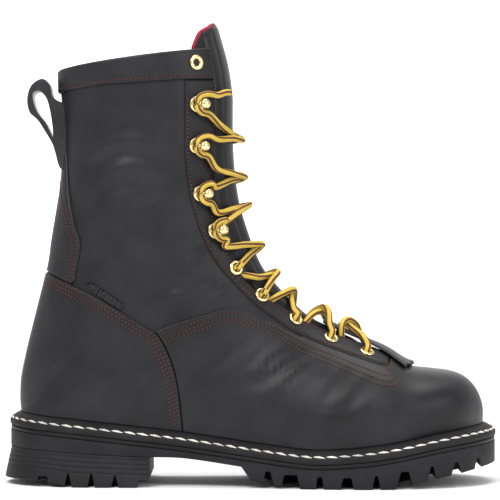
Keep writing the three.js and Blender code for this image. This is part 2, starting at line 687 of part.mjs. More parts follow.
// An outline moved out by d along its own normals.
function grow(outline, d) {
  const n = outline.length;
  const area = outline.reduce((sum, [x, z], i) => {
    const [x1, z1] = outline[(i + 1) % n];
    return sum + x * z1 - x1 * z;
  }, 0);
  const turn = area > 0 ? 1 : -1;
  return outline.map((p, i) => {
    const before = outline[(i + n - 1) % n];
    const after = outline[(i + 1) % n];
    const a = new THREE.Vector2(p[0] - before[0], p[1] - before[1]).normalize();
    const b = new THREE.Vector2(after[0] - p[0], after[1] - p[1]).normalize();
    const normal = new THREE.Vector2(a.y + b.y, -a.x - b.x).normalize();
    const stretch = Math.max(0.5, normal.dot(new THREE.Vector2(a.y, -a.x)));
    return [p[0] + (normal.x * turn * d) / stretch, p[1] + (normal.y * turn * d) / stretch];
  });
}

const vampTop = [
  [0.28, 0.343],
  [0.327, 0.366],
  [0.397, 0.389],
  [0.453, 0.403],
  [0.501, 0.39],
  [0.536, 0.372],
  [0.571, 0.353],
  [0.604, 0.337],
];
const counterEdge = [
  [-0.03, 0.525],
  [0.06, 0.483],
  [0.17, 0.427],
  [0.264, 0.369],
  [0.305, 0.335],
  [0.334, 0.264],
  [0.347, 0.185],
  [0.355, 0.08],
];
const eyestayEdge = [
  [0.359, 0.95],
  [0.359, 0.846],
  [0.361, 0.73],
  [0.376, 0.631],
  [0.409, 0.534],
  [0.455, 0.467],
  [0.529, 0.394],
  [0.62, 0.334],
  [0.732, 0.289],
  [0.782, 0.273],
  [0.792, 0.281],
  [0.795, 0.3],
];
const cuffEdge = [
  [0.46, 0.924],
  [0.36, 0.919],
  [0.254, 0.911],
  [0.17, 0.906],
  [0.02, 0.887],
];
const stayEdge = [
  [0.086, 0.84],
  [0.09, 0.79],
  [0.096, 0.743],
  [0.103, 0.67],
  [0.119, 0.596],
  [0.133, 0.55],
  [0.126, 0.491],
  [0.117, 0.435],
];
const tabOutline = [
  [0.15, 0.468],
  [0.23, 0.413],
  [0.226, 0.393],
  [0.148, 0.446],
];
const far = [-0.2, 1.3]; // x of outline corners that lie well outside the boot
const counterRest = [
  [0.355, -0.1],
  [far[0], -0.1],
  [far[0], 0.6],
];
const counterOutline = [...smooth(counterEdge, 11), ...counterRest.map(mm)];
const cuffOutline = [...smooth(cuffEdge, 4), mm([far[0], 0.87]), mm([far[0], 1.3]), mm([0.6, 1.3])];
const eyestayOutline = [...smooth(eyestayEdge, 17), mm([0.81, 0.5]), mm([0.7, 0.96])];
const stayOutline = [...smooth(stayEdge, 6), mm([far[0], 0.42]), mm([far[0], 0.84])];
const vampRest = [
  [0.7, 0.45],
  [far[1], 0.45],
  [far[1], -0.1],
  [0.28, -0.1],
];
const vampOutline = [...smooth(vampTop, 7), ...vampRest.map(mm)];

const panelForm = formBody(skinPanel, under, true);
const panelShell = formBody(skinOut, 0, false).subtract(panelForm).subtract(throat);
const cut = (outline, y0 = -wide, y1 = wide) => sidePrism(outline, y0, y1);
const cuffBody = panelShell.intersect(cut(cuffOutline));
const eyestayShell = panelShell.subtract(cut(grow(cuffOutline, seat)));
const eyestayBodies = {
  lateral: eyestayShell.intersect(cut(eyestayOutline, -wide, 0)),
  medial: eyestayShell.intersect(cut(eyestayOutline, 0, wide)),
};
const quarters = formBody(skinUpper, 0, false);
const counterBody = panelShell
  .intersect(cut(counterOutline))
  .subtract(quarters.translate([-seat / 2, 0, 0]))
  .subtract(quarters.translate([0, seat / 2, 0]))
  .subtract(quarters.translate([0, -seat / 2, 0]));
const vampBody = panelShell
  .intersect(cut(vampOutline))
  .subtract(cut(grow(eyestayOutline, seat)))
  .subtract(cut(grow(counterOutline, seat)));
const tabBody = panelShell
  .intersect(cut(tabOutline.map(mm), -wide, 0))
  .subtract(cut(grow(counterOutline, seat)));

// The pull loop: a strap that leaves the back stay, turns over and comes back under the cuff.
const loopOuter = [
  [0.1, 0.715],
  [0.085, 0.726],
  [0.072, 0.774],
  [0.053, 0.81],
  [0.038, 0.834],
  [0.022, 0.85],
  [0.016, 0.877],
  [0.021, 0.905],
  [0.033, 0.921],
  [0.05, 0.928],
  [0.064, 0.915],
  [0.072, 0.885],
  [0.1, 0.87],
];
const loopHole = [
  [0.027, 0.891],
  [0.038, 0.901],
  [0.048, 0.896],
  [0.06, 0.877],
  [0.069, 0.831],
  [0.071, 0.793],
  [0.056, 0.826],
  [0.036, 0.855],
];
const loopBody = cut(loopOuter.map(mm), -strapHalf, strapHalf)
  .subtract(cut(loopHole.map(mm), -strapHalf - 1, strapHalf + 1))
  .subtract(panelForm);
const stayBody = panelShell
  .intersect(cut(stayOutline))
  .subtract(cut(grow(counterOutline, seat)))
  .subtract(cut(grow(cuffOutline, seat)))
  .add(loopBody);

// A sheet laid over the form: spot(i, j, deep) gives its points, deep 0 on its face and 1 below.
function sheetSolid(rowCount, columnCount, spot) {
  const points = [];
  const faces = [];
  const across = columnCount + 1;
  const layer = (rowCount + 1) * across;
  for (let deep = 0; deep < 2; deep += 1) {
    for (let i = 0; i <= rowCount; i += 1) {
      for (let j = 0; j <= columnCount; j += 1) points.push(spot(i, j, deep));
    }
  }
  for (let i = 0; i < rowCount; i += 1) {
    for (let j = 0; j < columnCount; j += 1) {
      const a = i * across + j;
      const b = a + across;
      faces.push([a, a + 1, b + 1], [a, b + 1, b]);
      faces.push([layer + a, layer + b + 1, layer + a + 1], [layer + a, layer + b, layer + b + 1]);
    }
  }
  const rim = [];
  for (let j = 0; j < columnCount; j += 1) rim.push(j);
  for (let i = 0; i < rowCount; i += 1) rim.push(i * across + columnCount);
  for (let j = columnCount; j > 0; j -= 1) rim.push(rowCount * across + j);
  for (let i = rowCount; i > 0; i -= 1) rim.push(i * across);
  for (let k = 0; k < rim.length; k += 1) {
    const a = rim[k];
    const b = rim[(k + 1) % rim.length];
    faces.push([a, layer + a, layer + b], [a, layer + b, b]);
  }
  return toManifold(solidGeometry(points, faces));
}

// The kiltie: a flap under the lace whose pinked end shows in front of it.
const kiltieFrom = 6.75;
const kiltieTo = 10.4;
const kiltieThick = 1.6;
const kiltieLift = 1.3; // its underside over the panels
const kiltieHalf = 0.27; // half width at its end, as a share of ballWidth
const kiltieWaist = 0.36; // its width between the first eyelets, as a share of its end's
const kiltieRows = 4;
const kiltieColumns = 10;
const kiltieBody = sheetSolid(kiltieRows, kiltieColumns, (i, j, deep) => {
  const across = (2 * j) / kiltieColumns - 1;
  const tooth = i === 0 ? (j % 2) * 0.17 : 0;
  const round = 0.45 * across * across * (1 - i / kiltieRows);
  const at = lerp(kiltieFrom, kiltieTo, i / kiltieRows) + tooth + round;
  const half = ballWidth * kiltieHalf * lerp(1, kiltieWaist, Math.min(1, i / 2));
  return formPoint(at, across * half, kiltieLift + (1 - deep) * kiltieThick).toArray();
});

// Eyelets and hooks: the section they stand at, their reach from the ridge as a share of ballWidth,
// and the section at whose ridge the strands that rise from them cross.
const laceTable = [
  { name: 'eyelet_1', at: 8.7, reach: 0.23, cross: 9.6 },
  { name: 'eyelet_2', at: 10.07, reach: 0.21, cross: 10.6 },
  { name: 'eyelet_3', at: 11.57, reach: 0.208, cross: 12.1 },
  { name: 'eyelet_4', at: 13.43, reach: 0.23, cross: 13.4 },
  { name: 'eyelet_5', at: 15.38, reach: 0.285, cross: 15.3 },
  { name: 'hook_1', at: 18.9, reach: 0.347, cross: 18.9 },
  { name: 'hook_2', at: 22.4, reach: 0.416, cross: 21.8 },
  { name: 'hook_3', at: 25.2, reach: 0.446, cross: 24.3 },
  { name: 'hook_4', at: 27.6, reach: 0.446, cross: 27 },
  { name: 'cuff_eyelet', at: 30.1, reach: 0.411, cross: 30 },
];
const signOf = { lateral: -1, medial: 1 };

// Where a fitting stands on the form: its place, with its own z along the form's normal and its own
// x towards the ridge, which is kept level for the hooks.
function fittingFrame(at, reach, level = false) {
  const here = formPoint(at, reach, 0);
  const normal = formPoint(at, reach, 1).sub(here).normalize();
  const ridgeward = formPoint(at, reach - Math.sign(reach) * 2, 0).sub(here);
  if (level) ridgeward.set(normal.y, -normal.x, 0).multiplyScalar(Math.sign(reach));
  ridgeward.addScaledVector(normal, -ridgeward.dot(normal)).normalize();
  const side = normal.clone().cross(ridgeward);
  return new THREE.Matrix4().makeBasis(ridgeward, side, normal).setPosition(here);
}

// The geometry with its faces turned out.
function outward(geometry) {
  const body = toManifold(geometry);
  if (body.volume() > 0) return body;
  const index = Array.from(geometry.index.array);
  for (let i = 0; i < index.length; i += 3) [index[i], index[i + 1]] = [index[i + 1], index[i]];
  const turned = geometry.clone();
  turned.setIndex(index);
  return toManifold(turned);
}

const roundSteps = 8;
function turnedSolid(profile, steps, place) {
  const lathe = new THREE.LatheGeometry(profile.map(([r, z]) => new THREE.Vector2(r, z)), steps);
  lathe.rotateX(Math.PI / 2);
  lathe.applyMatrix4(place);
  return outward(lathe);
}

const barrelEnd = skinInner - 0.3;
const eyeletProfile = [
  [eyeletHole, barrelEnd],
  [eyeletBarrel, barrelEnd],
  [eyeletBarrel, seat],
  [eyeletRadius, seat],
  [eyeletRadius - 1.2, seat + 1.1],
  [eyeletHole, seat + 0.6],
  [eyeletHole, barrelEnd],
];
const holeProfile = [
  [0, skinInner - 3],
  [eyeletBarrel + seat, skinInner - 3],
  [eyeletBarrel + seat, 3],
  [0, 3],
];
const hookTip = 10.1; // height of a hook's ball end over the facing
const hookNeck = 1.2;
const hookBase = 0.8; // thickness of its base plate
const hookPlate = [
  [0, seat],
  [hookRadius, seat],
  [hookRadius - 0.5, seat + hookBase],
  [0, seat + hookBase + 0.1],
];
const hookProfile = [
  [0, seat + hookBase / 2],
  [hookNeck, seat + hookBase / 2],
  [hookNeck, hookTip - 4.2],
  [2.7, hookTip - 3.4],
  [3.1, hookTip - 2.2],
  [2.1, hookTip - 0.5],
  [0, hookTip],
];
const hookShift = 1.7; // how far the neck and its ball stand towards the ridge on the plate
const shift = new THREE.Matrix4().makeTranslation(hookShift, 0, 0);

let holes = null;
const fittings = [];
for (const side of sideNames) {
  for (const row of laceTable) {
    const isHook = row.name.startsWith('hook');
    const place = fittingFrame(row.at, signOf[side] * row.reach * ballWidth, isHook);
    if (isHook) {
      const plate = turnedSolid(hookPlate, 8, place);
      const neck = turnedSolid(hookProfile, 8, place.clone().multiply(shift));
      fittings.push([`${row.name}_${side}`, plate.add(neck)]);
    } else {
      fittings.push([`${row.name}_${side}`, turnedSolid(eyeletProfile, roundSteps, place)]);
      const hole = turnedSolid(holeProfile, roundSteps, place);
      holes = holes ? holes.add(hole) : hole;
    }
  }
}

// The lace. Each strand runs from its fitting over the facing's edge and the tongue to the edge of
// the other facing. A strand's points are [section, reach as a share of ballWidth, height].
const laceSides = 8;
const laceShape = new THREE.Shape();
for (let i = 0; i < laceSides; i += 1) {
  const turn = ((i + 0.5) / laceSides) * 2 * Math.PI;
  const p = [laceRadius * Math.cos(turn), laceRadius * Math.sin(turn)];
  if (i === 0) laceShape.moveTo(p[0], p[1]);
  else laceShape.lineTo(p[0], p[1]);
}
laceShape.closePath();
function bareExtrude(shape, path, steps) {
  const geometry = new THREE.ExtrudeGeometry(shape, { extrudePath: path, steps, bevelEnabled: false });
  const bare = new THREE.BufferGeometry();
  bare.setAttribute('position', geometry.getAttribute('position'));
  return mergeVertices(bare, 1e-3);
}
function strand(points, steps) {
  const spots = points.map((p) => (p.isVector3 ? p : formPoint(p[0], p[1] * ballWidth, p[2])));
  return outward(bareExtrude(laceShape, new THREE.CatmullRomCurve3(spots), steps));
}

const overFacing = seat + 1.3 + seat + laceRadius + 0.1; // height of a lace over an eyelet
const overTongue = kiltieLift + kiltieThick + seat + laceRadius + 0.3;
const overBase = seat + hookBase + seat + laceRadius + 1; // height of a lace at a hook
const wrap = hookNeck + laceRadius + 0.6; // radius at which the lace turns round a hook
const endGap = 0.9; // half the gap behind a hook where one strand's solid follows the other

// Points of a strand round the back of a hook: up is 1 on its upper side and -1 on its lower side.
function roundHook(row, side, up) {
  const place = fittingFrame(row.at, signOf[side] * row.reach * ballWidth, true);
  const flip = side === 'lateral' ? up : -up;
  const local = (x, y) => {
    const p = new THREE.Vector3(hookShift + x * wrap, y * wrap * flip, overBase);
    return p.applyMatrix4(place);
  };
  return [
    local(-1, endGap / wrap),
    local(-0.8, 0.82),
    local(-0.05, 1.38),
    local(1.05, 1.6),
  ];
}

const laceBodies = [];
for (let k = 0; k < laceTable.length - 2; k += 1) {
  const from = laceTable[k];
  const to = laceTable[k + 1];
  const fromHook = from.name.startsWith('hook');
  const toHook = to.name.startsWith('hook');
  const over = from.cross < kiltieTo + 1 ? overTongue : overFacing;
  const strands = sideNames.map((side) => {
    const other = side === 'lateral' ? 'medial' : 'lateral';
    const points = [];
    if (fromHook) {
      points.push(...roundHook(from, side, 1));
    } else {
      const edge = throatHalf(from.at) / ballWidth;
      points.push([from.at, signOf[side] * from.reach, overFacing]);
      points.push([lerp(from.at, from.cross, 0.3), signOf[side] * edge, over]);
    }
    points.push([from.cross, 0, over]);
    if (toHook) {
      points.push(...roundHook(to, other, -1).reverse());
    } else {
      const edge = throatHalf(to.at) / ballWidth;
      points.push([to.at - 0.5, signOf[other] * (edge - 0.03), over]);
    }
    return strand(points, 4 + (fromHook ? 3 : 0) + (toHook ? 3 : 0));
  });
  laceBodies.push([`lace_cross_${k + 1}`, strands[0].add(strands[1])]);
}
// The lace's ends: from the top hooks they run level over the edge of the facing.
const topHook = laceTable[laceTable.length - 2];
for (const side of sideNames) {
  const edge = (signOf[side] * throatHalf(topHook.at)) / ballWidth;
  const points = [
    ...roundHook(topHook, side, 1),
    [topHook.at + 0.12, edge * 1.3, overBase],
    [topHook.at + 0.1, edge * 1.02, overBase - 0.2],
    [topHook.at - 0.05, edge * 0.75, overBase - 1],
  ];
  laceBodies.push([`lace_end_${side}`, strand(points, 8)]);
}

const boot = new THREE.Group();
function piece(name, shape, colour, roughness, metalness = 0) {
  const geometry = shape.isBufferGeometry ? shape : toGeometry(shape);
  const material = new THREE.MeshStandardMaterial({ color: colour, roughness, metalness });
  const mesh = new THREE.Mesh(geometry, material);
  mesh.name = name;
  boot.add(mesh);
  return mesh;
}

piece('upper', upperBody.subtract(holes), 0x2e2d30, 0.5);
piece('insole', insolePlate, 0x9a7b5a, 0.8);
piece('welt', weltRing, 0x1f1e20, 0.7);
piece('midsole', midsolePlate, 0x161517, 0.6);

piece('tongue', sheetSolid(tongueRows, tongueColumns, tongueSpot), 0x2b2a2d, 0.45);
piece('vamp', vampBody, 0x2e2d30, 0.5);
piece('heel_counter', counterBody, 0x2e2d30, 0.5);
piece('cuff', cuffBody.subtract(holes), 0x2e2d30, 0.5);
piece('eyestay_lateral', eyestayBodies.lateral.subtract(holes), 0x2e2d30, 0.5);
piece('eyestay_medial', eyestayBodies.medial.subtract(holes), 0x2e2d30, 0.5);
piece('back_stay', stayBody, 0x2b2a2d, 0.5);
piece('side_tab', tabBody, 0x2b2a2d, 0.5);
piece('kiltie', kiltieBody, 0x2e2d30, 0.5);
piece('outsole', outsoleBody, 0x121113, 0.7);
piece('heel', heelBody, 0x121113, 0.7);

for (const [name, body] of fittings) piece(name, body, 0xd8c27a, 0.3, 1);
for (const [name, body] of laceBodies) piece(name, body, 0xd9a72e, 0.8);

for (const m of boot.children) m.geometry.translate(-heelRestX, 0, 0);
export default boot;
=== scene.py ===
import math

import bmesh
import bpy
import numpy as np
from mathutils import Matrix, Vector
from mathutils.bvhtree import BVHTree


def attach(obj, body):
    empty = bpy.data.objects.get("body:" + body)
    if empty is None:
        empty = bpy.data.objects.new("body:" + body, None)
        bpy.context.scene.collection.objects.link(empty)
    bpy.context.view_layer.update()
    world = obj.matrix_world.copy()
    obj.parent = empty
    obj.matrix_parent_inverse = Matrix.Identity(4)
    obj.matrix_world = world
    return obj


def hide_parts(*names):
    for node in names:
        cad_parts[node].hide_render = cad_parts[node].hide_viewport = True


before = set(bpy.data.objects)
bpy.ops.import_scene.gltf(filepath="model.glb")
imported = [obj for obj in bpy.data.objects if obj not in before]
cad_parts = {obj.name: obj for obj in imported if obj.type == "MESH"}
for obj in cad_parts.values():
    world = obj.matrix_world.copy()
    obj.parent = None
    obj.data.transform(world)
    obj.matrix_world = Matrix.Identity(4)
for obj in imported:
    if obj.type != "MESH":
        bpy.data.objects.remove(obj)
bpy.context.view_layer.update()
print("frame loaded")

# The boot's sizes, in millimetres, as in the part's own source.
featherLength = 288.8
heelBack = 9.5
ballWidth = 101.0
shaftHeight = 270.0
heelHeight = 44.7
originX = heelBack + featherLength * 0.19
skinUpper = -1.8
skinInner = -4.0
weltReach = 6.5
weltReachToe = 1.4
weltDepth = 9.0
midsoleDepth = 2.7
collarAt = 31
throatAt = 7.35
lastHeelSection = 19

# Sections: ridge x, ridge z, base x, base z, lateral, medial, mid, widest, round, gap.
sectionRows = [
    (1.001, 0.1648, 1, 0, 0, 0, 0.059, 0.3, 2.1, 0),
    (0.9979, 0.1833, 0.9976, 0, 0.095, 0.095, 0.059, 0.3, 2.1, 0),
    (0.9893, 0.2074, 0.9886, 0, 0.188, 0.188, 0.059, 0.32, 2.2, 0),
    (0.9747, 0.2296, 0.9733, 0, 0.282, 0.282, 0.059, 0.33, 2.3, 0),
    (0.9539, 0.2467, 0.9519, 0, 0.371, 0.361, 0.055, 0.34, 2.35, 0),
    (0.9245, 0.2567, 0.9228, 0, 0.441, 0.421, 0.05, 0.34, 2.35, 0),
    (0.883, 0.2615, 0.8812, 0, 0.495, 0.465, 0.042, 0.34, 2.3, 0),
    (0.8362, 0.2689, 0.8328, 0, 0.53, 0.5, 0.034, 0.33, 2.1, 0),
    (0.7843, 0.303, 0.7774, 0, 0.54, 0.51, 0.026, 0.3, 1.9, 0.082),
    (0.7289, 0.329, 0.7185, 0, 0.535, 0.5, 0.02, 0.27, 1.75, 0.105),
    (0.6735, 0.357, 0.6596, 0, 0.52, 0.47, 0.015, 0.25, 1.65, 0.12),
    (0.6215, 0.388, 0.5973, 0, 0.49, 0.436, 0.01, 0.24, 1.62, 0.138),
    (0.5817, 0.4265, 0.5142, 0, 0.446, 0.401, 0.006, 0.24, 1.65, 0.152),
    (0.5523, 0.4605, 0.4172, 0, 0.401, 0.381, 0.003, 0.25, 1.7, 0.168),
    (0.528, 0.4926, 0.3203, 0, 0.381, 0.366, 0, 0.28, 1.77, 0.18),
    (0.5107, 0.5296, 0.2233, 0, 0.376, 0.361, 0, 0.32, 1.85, 0.192),
    (0.4979, 0.5667, 0.1298, 0, 0.376, 0.361, 0, 0.36, 1.95, 0.204),
    (0.4886, 0.5963, 0.0537, 0, 0.376, 0.366, 0, 0.42, 2, 0.212),
    (0.4823, 0.6185, 0.0121, 0, 0.376, 0.366, 0, 0.46, 2, 0.22),
    (0.4778, 0.637, 0, 0, 0.376, 0.371, 0, 0.49, 2, 0.226),
    (0.474, 0.6556, -0.001, 0.2296, 0.376, 0.371, 0, 0.5, 2, 0.232),
    (0.4706, 0.6778, 0.0087, 0.2889, 0.376, 0.371, 0, 0.51, 2, 0.238),
    (0.4671, 0.7074, 0.0256, 0.363, 0.376, 0.376, 0, 0.51, 2, 0.242),
    (0.4643, 0.7407, 0.044, 0.437, 0.381, 0.381, 0, 0.51, 2, 0.245),
    (0.4626, 0.7778, 0.0589, 0.5, 0.391, 0.391, 0, 0.51, 2, 0.248),
    (0.4619, 0.8148, 0.0658, 0.5593, 0.401, 0.401, 0, 0.51, 2, 0.248),
    (0.4619, 0.8519, 0.0738, 0.6185, 0.411, 0.411, 0, 0.51, 2, 0.248),
    (0.4619, 0.8852, 0.0817, 0.6778, 0.421, 0.421, 0, 0.51, 2, 0.248),
    (0.4591, 0.9148, 0.0866, 0.7407, 0.426, 0.426, 0, 0.51, 2, 0.248),
    (0.455, 0.9444, 0.0862, 0.8074, 0.431, 0.431, 0, 0.51, 2, 0.248),
    (0.4498, 0.9722, 0.0807, 0.8778, 0.436, 0.436, 0, 0.51, 2, 0.248),
    (0.4429, 1, 0.0779, 0.9481, 0.436, 0.436, 0, 0.51, 2, 0.248),
    (0.4342, 1.033, 0.0765, 0.9889, 0.426, 0.426, 0, 0.51, 2, 0.248),
    (0.4259, 1.067, 0.0751, 1.03, 0.416, 0.416, 0, 0.51, 2, 0.248),
]
columnNames = "ridgeX ridgeZ baseX baseZ lateral medial mid widest round gap".split()
section = {n: np.array([r[k] for r in sectionRows], float) for k, n in enumerate(columnNames)}
section["baseZ"][: lastHeelSection + 1] = heelHeight / shaftHeight

# Half widths of the feather line from heel to toe, in equal steps of angle.
featherRows = {
    "lateral": [0, 0.178, 0.292, 0.337, 0.347, 0.351, 0.401, 0.475, 0.505, 0.46, 0.356, 0.17, -0.06],
    "medial": [0, 0.173, 0.282, 0.322, 0.312, 0.292, 0.312, 0.406, 0.495, 0.5, 0.426, 0.29, 0.06],
}
feather = {name: np.array(values) for name, values in featherRows.items()}

# Heights along the boot: x, feather line, underside between the lugs, ground line of the lugs.
sideRows = [
    (-0.0329, 1.025, 0.5369, 0.0917),
    (0.0364, 0.9754, 0.5034, 0.085),
    (0.0848, 0.9441, 0.481, 0.0447),
    (0.1264, 0.9172, 0.4631, 0),
    (0.1783, 0.8814, 0.4452, 0),
    (0.2822, 0.8076, 0.4116, 0),
    (0.3549, 0.7517, 0.396, 0.1342),
    (0.4726, 0.6443, 0.2931, 0.1342),
    (0.5107, 0.6107, 0.2528, 0.094),
    (0.5488, 0.5794, 0.2148, 0.047),
    (0.6008, 0.5391, 0.1767, 0),
    (0.6458, 0.528, 0.1655, 0),
    (0.6977, 0.5481, 0.1588, 0),
    (0.7497, 0.5794, 0.179, 0),
    (0.7981, 0.6264, 0.2237, 0),
    (0.8362, 0.6711, 0.2573, 0.0582),
    (0.8743, 0.7226, 0.2998, 0.1208),
    (0.9262, 0.7785, 0.3445, 0.1834),
    (0.9782, 0.8233, 0.387, 0.2506),
    (1.03, 0.8546, 0.4161, 0.2998),
]
side = np.array(sideRows)


def hermite(p0, p1, m0, m1, f):
    f2 = f * f
    f3 = f2 * f
    return (2 * f3 - 3 * f2 + 1) * p0 + (f3 - 2 * f2 + f) * m0 + (3 * f2 - 2 * f3) * p1 + (f3 - f2) * m1


def along(values, at):
    at = np.asarray(at, float)
    n = len(values)
    i = np.clip(np.floor(at).astype(int), 0, n - 2)
    p1 = values[i]
    p2 = values[i + 1]
    p0 = np.where(i > 0, values[np.maximum(i - 1, 0)], 2 * p1 - p2)
    p3 = np.where(i + 2 < n, values[np.minimum(i + 2, n - 1)], 2 * p2 - p1)
    return hermite(p1, p2, (p2 - p0) / 2, (p3 - p1) / 2, at - i)


def byX(column, share):
    share = np.asarray(share, float)
    xs = side[:, 0]
    v = side[:, column]
    n = len(xs)
    i = np.clip(np.searchsorted(xs, share, side="left") - 1, 0, n - 2)
    span = xs[i + 1] - xs[i]
    f = np.clip((share - xs[i]) / span, 0, 1)
    slope = (v[i + 1] - v[i]) / span
    b = np.maximum(i - 1, 0)
    a = np.minimum(i + 2, n - 1)
    m1 = np.where(i > 0, (v[i + 1] - v[b]) / (xs[i + 1] - xs[b]), slope)
    m2 = np.where(i + 2 < n, (v[a] - v[i]) / (xs[a] - xs[i]), slope)
    return hermite(v[i], v[i + 1], m1 * span, m2 * span, f)


def shareX(x):
    return (np.asarray(x, float) - heelBack) / featherLength


def fromX(share):
    return heelBack + featherLength * np.asarray(share, float)


def featherZ(x):
    return heelHeight * byX(1, shareX(x))


def underZ(x):
    return heelHeight * byX(2, shareX(x))


def groundZ(x):
    return np.maximum(0, heelHeight * byX(3, shareX(x)))


def featherHalf(x, name):
    turn = np.arccos(1 - 2 * np.clip(shareX(x), 0, 1)) / np.pi
    return ballWidth * along(feather[name], turn * (len(feather[name]) - 1))


def sectionBase(at):
    x = fromX(along(section["baseX"], at))
    z = np.where(at <= lastHeelSection, featherZ(x), shaftHeight * along(section["baseZ"], at))
    return float(x), float(z)


def sectionLine(at, name, count):
    sign = 1 if name == "medial" else -1
    half = max(0.0, ballWidth * float(along(section[name], at)))
    mid = ballWidth * float(along(section["mid"], at))
    widest = float(along(section["widest"], at))
    power = 2 / float(along(section["round"], at))
    baseX, baseZ = sectionBase(at)
    ridgeX = float(fromX(along(section["ridgeX"], at)))
    ridgeZ = shaftHeight * float(along(section["ridgeZ"], at))
    baseHalf = 0.0
    if at < lastHeelSection:
        baseHalf = max(0.0, float(featherHalf(baseX, name)) - sign * mid)
    reach = max(half, baseHalf + 0.01)
    endTurn = math.pi - math.asin(min(1.0, (baseHalf / reach) ** (1 / power)))
    low = abs(math.cos(endTurn)) ** power
    fine = 60
    upperTurn = np.linspace(0, math.pi / 2, fine + 1)
    lowerTurn = np.linspace(math.pi / 2, endTurn, fine + 1)[1:]
    turn = np.concatenate([upperTurn, lowerTurn])
    across = reach * np.sin(turn) ** power
    c = np.abs(np.cos(turn)) ** power
    isUpper = np.arange(2 * fine + 1) <= fine
    height = np.where(isUpper, widest + (1 - widest) * c, widest - widest * c / max(low, 1e-6))
    height[0], across[0] = 1, 0
    height[-1], across[-1] = 0, 0 if half < 0.02 else baseHalf
    x = baseX + (ridgeX - baseX) * height
    z = baseZ + (ridgeZ - baseZ) * height
    spots = np.stack([x, mid + sign * across, z], 1)
    step = np.linalg.norm(np.diff(spots, axis=0), axis=1)
    run = np.concatenate([[0], np.cumsum(step)])
    want = np.linspace(0, run[-1], count + 1)
    return np.stack([np.interp(want, run, spots[:, k]) for k in range(3)], 1), run[-1]


# The whole form as one sheet: rows from the toe to past the collar, columns from the lateral base
# over the ridge to the medial base.
perSection = 6
halfColumns = 60
formRows = (collarAt + 2) * perSection + 1
formPos = np.zeros((formRows, 2 * halfColumns + 1, 3))
formLength = np.zeros((2, formRows))
for i in range(formRows):
    a, lengthA = sectionLine(i / perSection, "lateral", halfColumns)
    b, lengthB = sectionLine(i / perSection, "medial", halfColumns)
    formPos[i, : halfColumns + 1] = a[::-1]
    formPos[i, halfColumns:] = b
    formLength[:, i] = lengthA, lengthB
du = np.gradient(formPos, axis=1)
da = np.gradient(formPos, axis=0)
formNormal = np.cross(du, da)
seamed = formNormal[:, 0] + formNormal[:, -1]
heelRow = lastHeelSection * perSection
formNormal[heelRow:, 0] = seamed[heelRow:]
formNormal[heelRow:, -1] = seamed[heelRow:]
toeRow = formNormal[1] / np.maximum(np.linalg.norm(formNormal[1], axis=1, keepdims=True), 1e-9)
formNormal[0] = toeRow + toeRow[::-1]
formNormal /= np.maximum(np.linalg.norm(formNormal, axis=2, keepdims=True), 1e-9)


# Points of the form and its normals at section at and place u, which runs from -1 at the lateral
# base over 0 at the ridge to 1 at the medial base.
def formAt(at, u):
    r = np.clip(np.asarray(at, float) * perSection, 0, formRows - 1.0001)
    c = np.clip((np.asarray(u, float) + 1) * halfColumns, 0, 2 * halfColumns - 0.0001)
    i = r.astype(int)
    j = c.astype(int)
    f = (r - i)[..., None]
    g = (c - j)[..., None]
    out = []
    for grid in (formPos, formNormal):
        top = grid[i, j] * (1 - g) + grid[i, j + 1] * g
        low = grid[i + 1, j] * (1 - g) + grid[i + 1, j + 1] * g
        out.append(top * (1 - f) + low * f)
    out[1] /= np.maximum(np.linalg.norm(out[1], axis=-1, keepdims=True), 1e-9)
    return out


def sideLength(at, reach):
    rows = np.arange(formRows) / perSection
    lateral, medial = (np.interp(at, rows, lengths) for lengths in formLength)
    return np.where(np.asarray(reach) < 0, lateral, medial)


def formReach(at, reach, offset=0.0):
    at = np.asarray(at, float)
    reach = np.asarray(reach, float)
    u = np.clip(reach / sideLength(at, reach), -1, 1)
    p, n = formAt(at, u)
    return p + n * np.asarray(offset, float)[..., None]


def throatHalf(at):
    full = ballWidth * np.maximum(0.084, along(section["gap"], at))
    return full * np.sqrt(np.clip((np.asarray(at, float) - throatAt + 0.03) / 0.8, 0, 1))


# Arc from the ridge to the facing's edge, whose half gap is measured straight across.
def edgeReach(at):
    at = np.atleast_1d(np.asarray(at, float))
    u = np.linspace(0, 0.5, 61)
    out = []
    for a, half in zip(at, throatHalf(at)):
        p, _ = formAt(np.full(61, a), u)
        share = np.interp(half, p[:, 1] - ballWidth * float(along(section["mid"], a)), u)
        out.append(share * float(sideLength(a, 1)))
    return np.array(out)


def smoothstep(v, low, high):
    t = np.clip((v - low) / (high - low), 0, 1)
    return t * t * (3 - 2 * t)


print("form ready")

# Meshes. Points are in millimetres, in the boot's own lengthwise measure.
def toWorld(points):
    p = np.array(points, float).reshape(-1, 3)
    p[:, 0] -= originX
    return p * 0.001


def makeMesh(name, points, faces, smooth=True, weld=0.0, marks=None, uv=None):
    mesh = bpy.data.meshes.new(name)
    mesh.from_pydata(toWorld(points).tolist(), [], [tuple(int(k) for k in f) for f in faces])
    if marks is not None:
        mesh.polygons.foreach_set("material_index", np.asarray(marks, np.int32))
    if uv is not None:
        layer = mesh.uv_layers.new(name="UVMap")
        flat = np.asarray(uv, float)[[v for f in faces for v in f]]
        layer.data.foreach_set("uv", flat.ravel())
    mesh.validate()
    if weld > 0:
        bm = bmesh.new()
        bm.from_mesh(mesh)
        bmesh.ops.remove_doubles(bm, verts=bm.verts, dist=weld * 0.001)
        bm.to_mesh(mesh)
        bm.free()
    if smooth:
        mesh.polygons.foreach_set("use_smooth", [True] * len(mesh.polygons))
    obj = bpy.data.objects.new(name, mesh)
    bpy.context.scene.collection.objects.link(obj)
    return obj


def gridFaces(rows, cols, start=0, flip=False):
    i, j = np.meshgrid(np.arange(rows - 1), np.arange(cols - 1), indexing="ij")
    a = start + i * cols + j
    quads = np.stack([a, a + cols, a + cols + 1, a + 1], -1).reshape(-1, 4)
    return quads[:, ::-1] if flip else quads


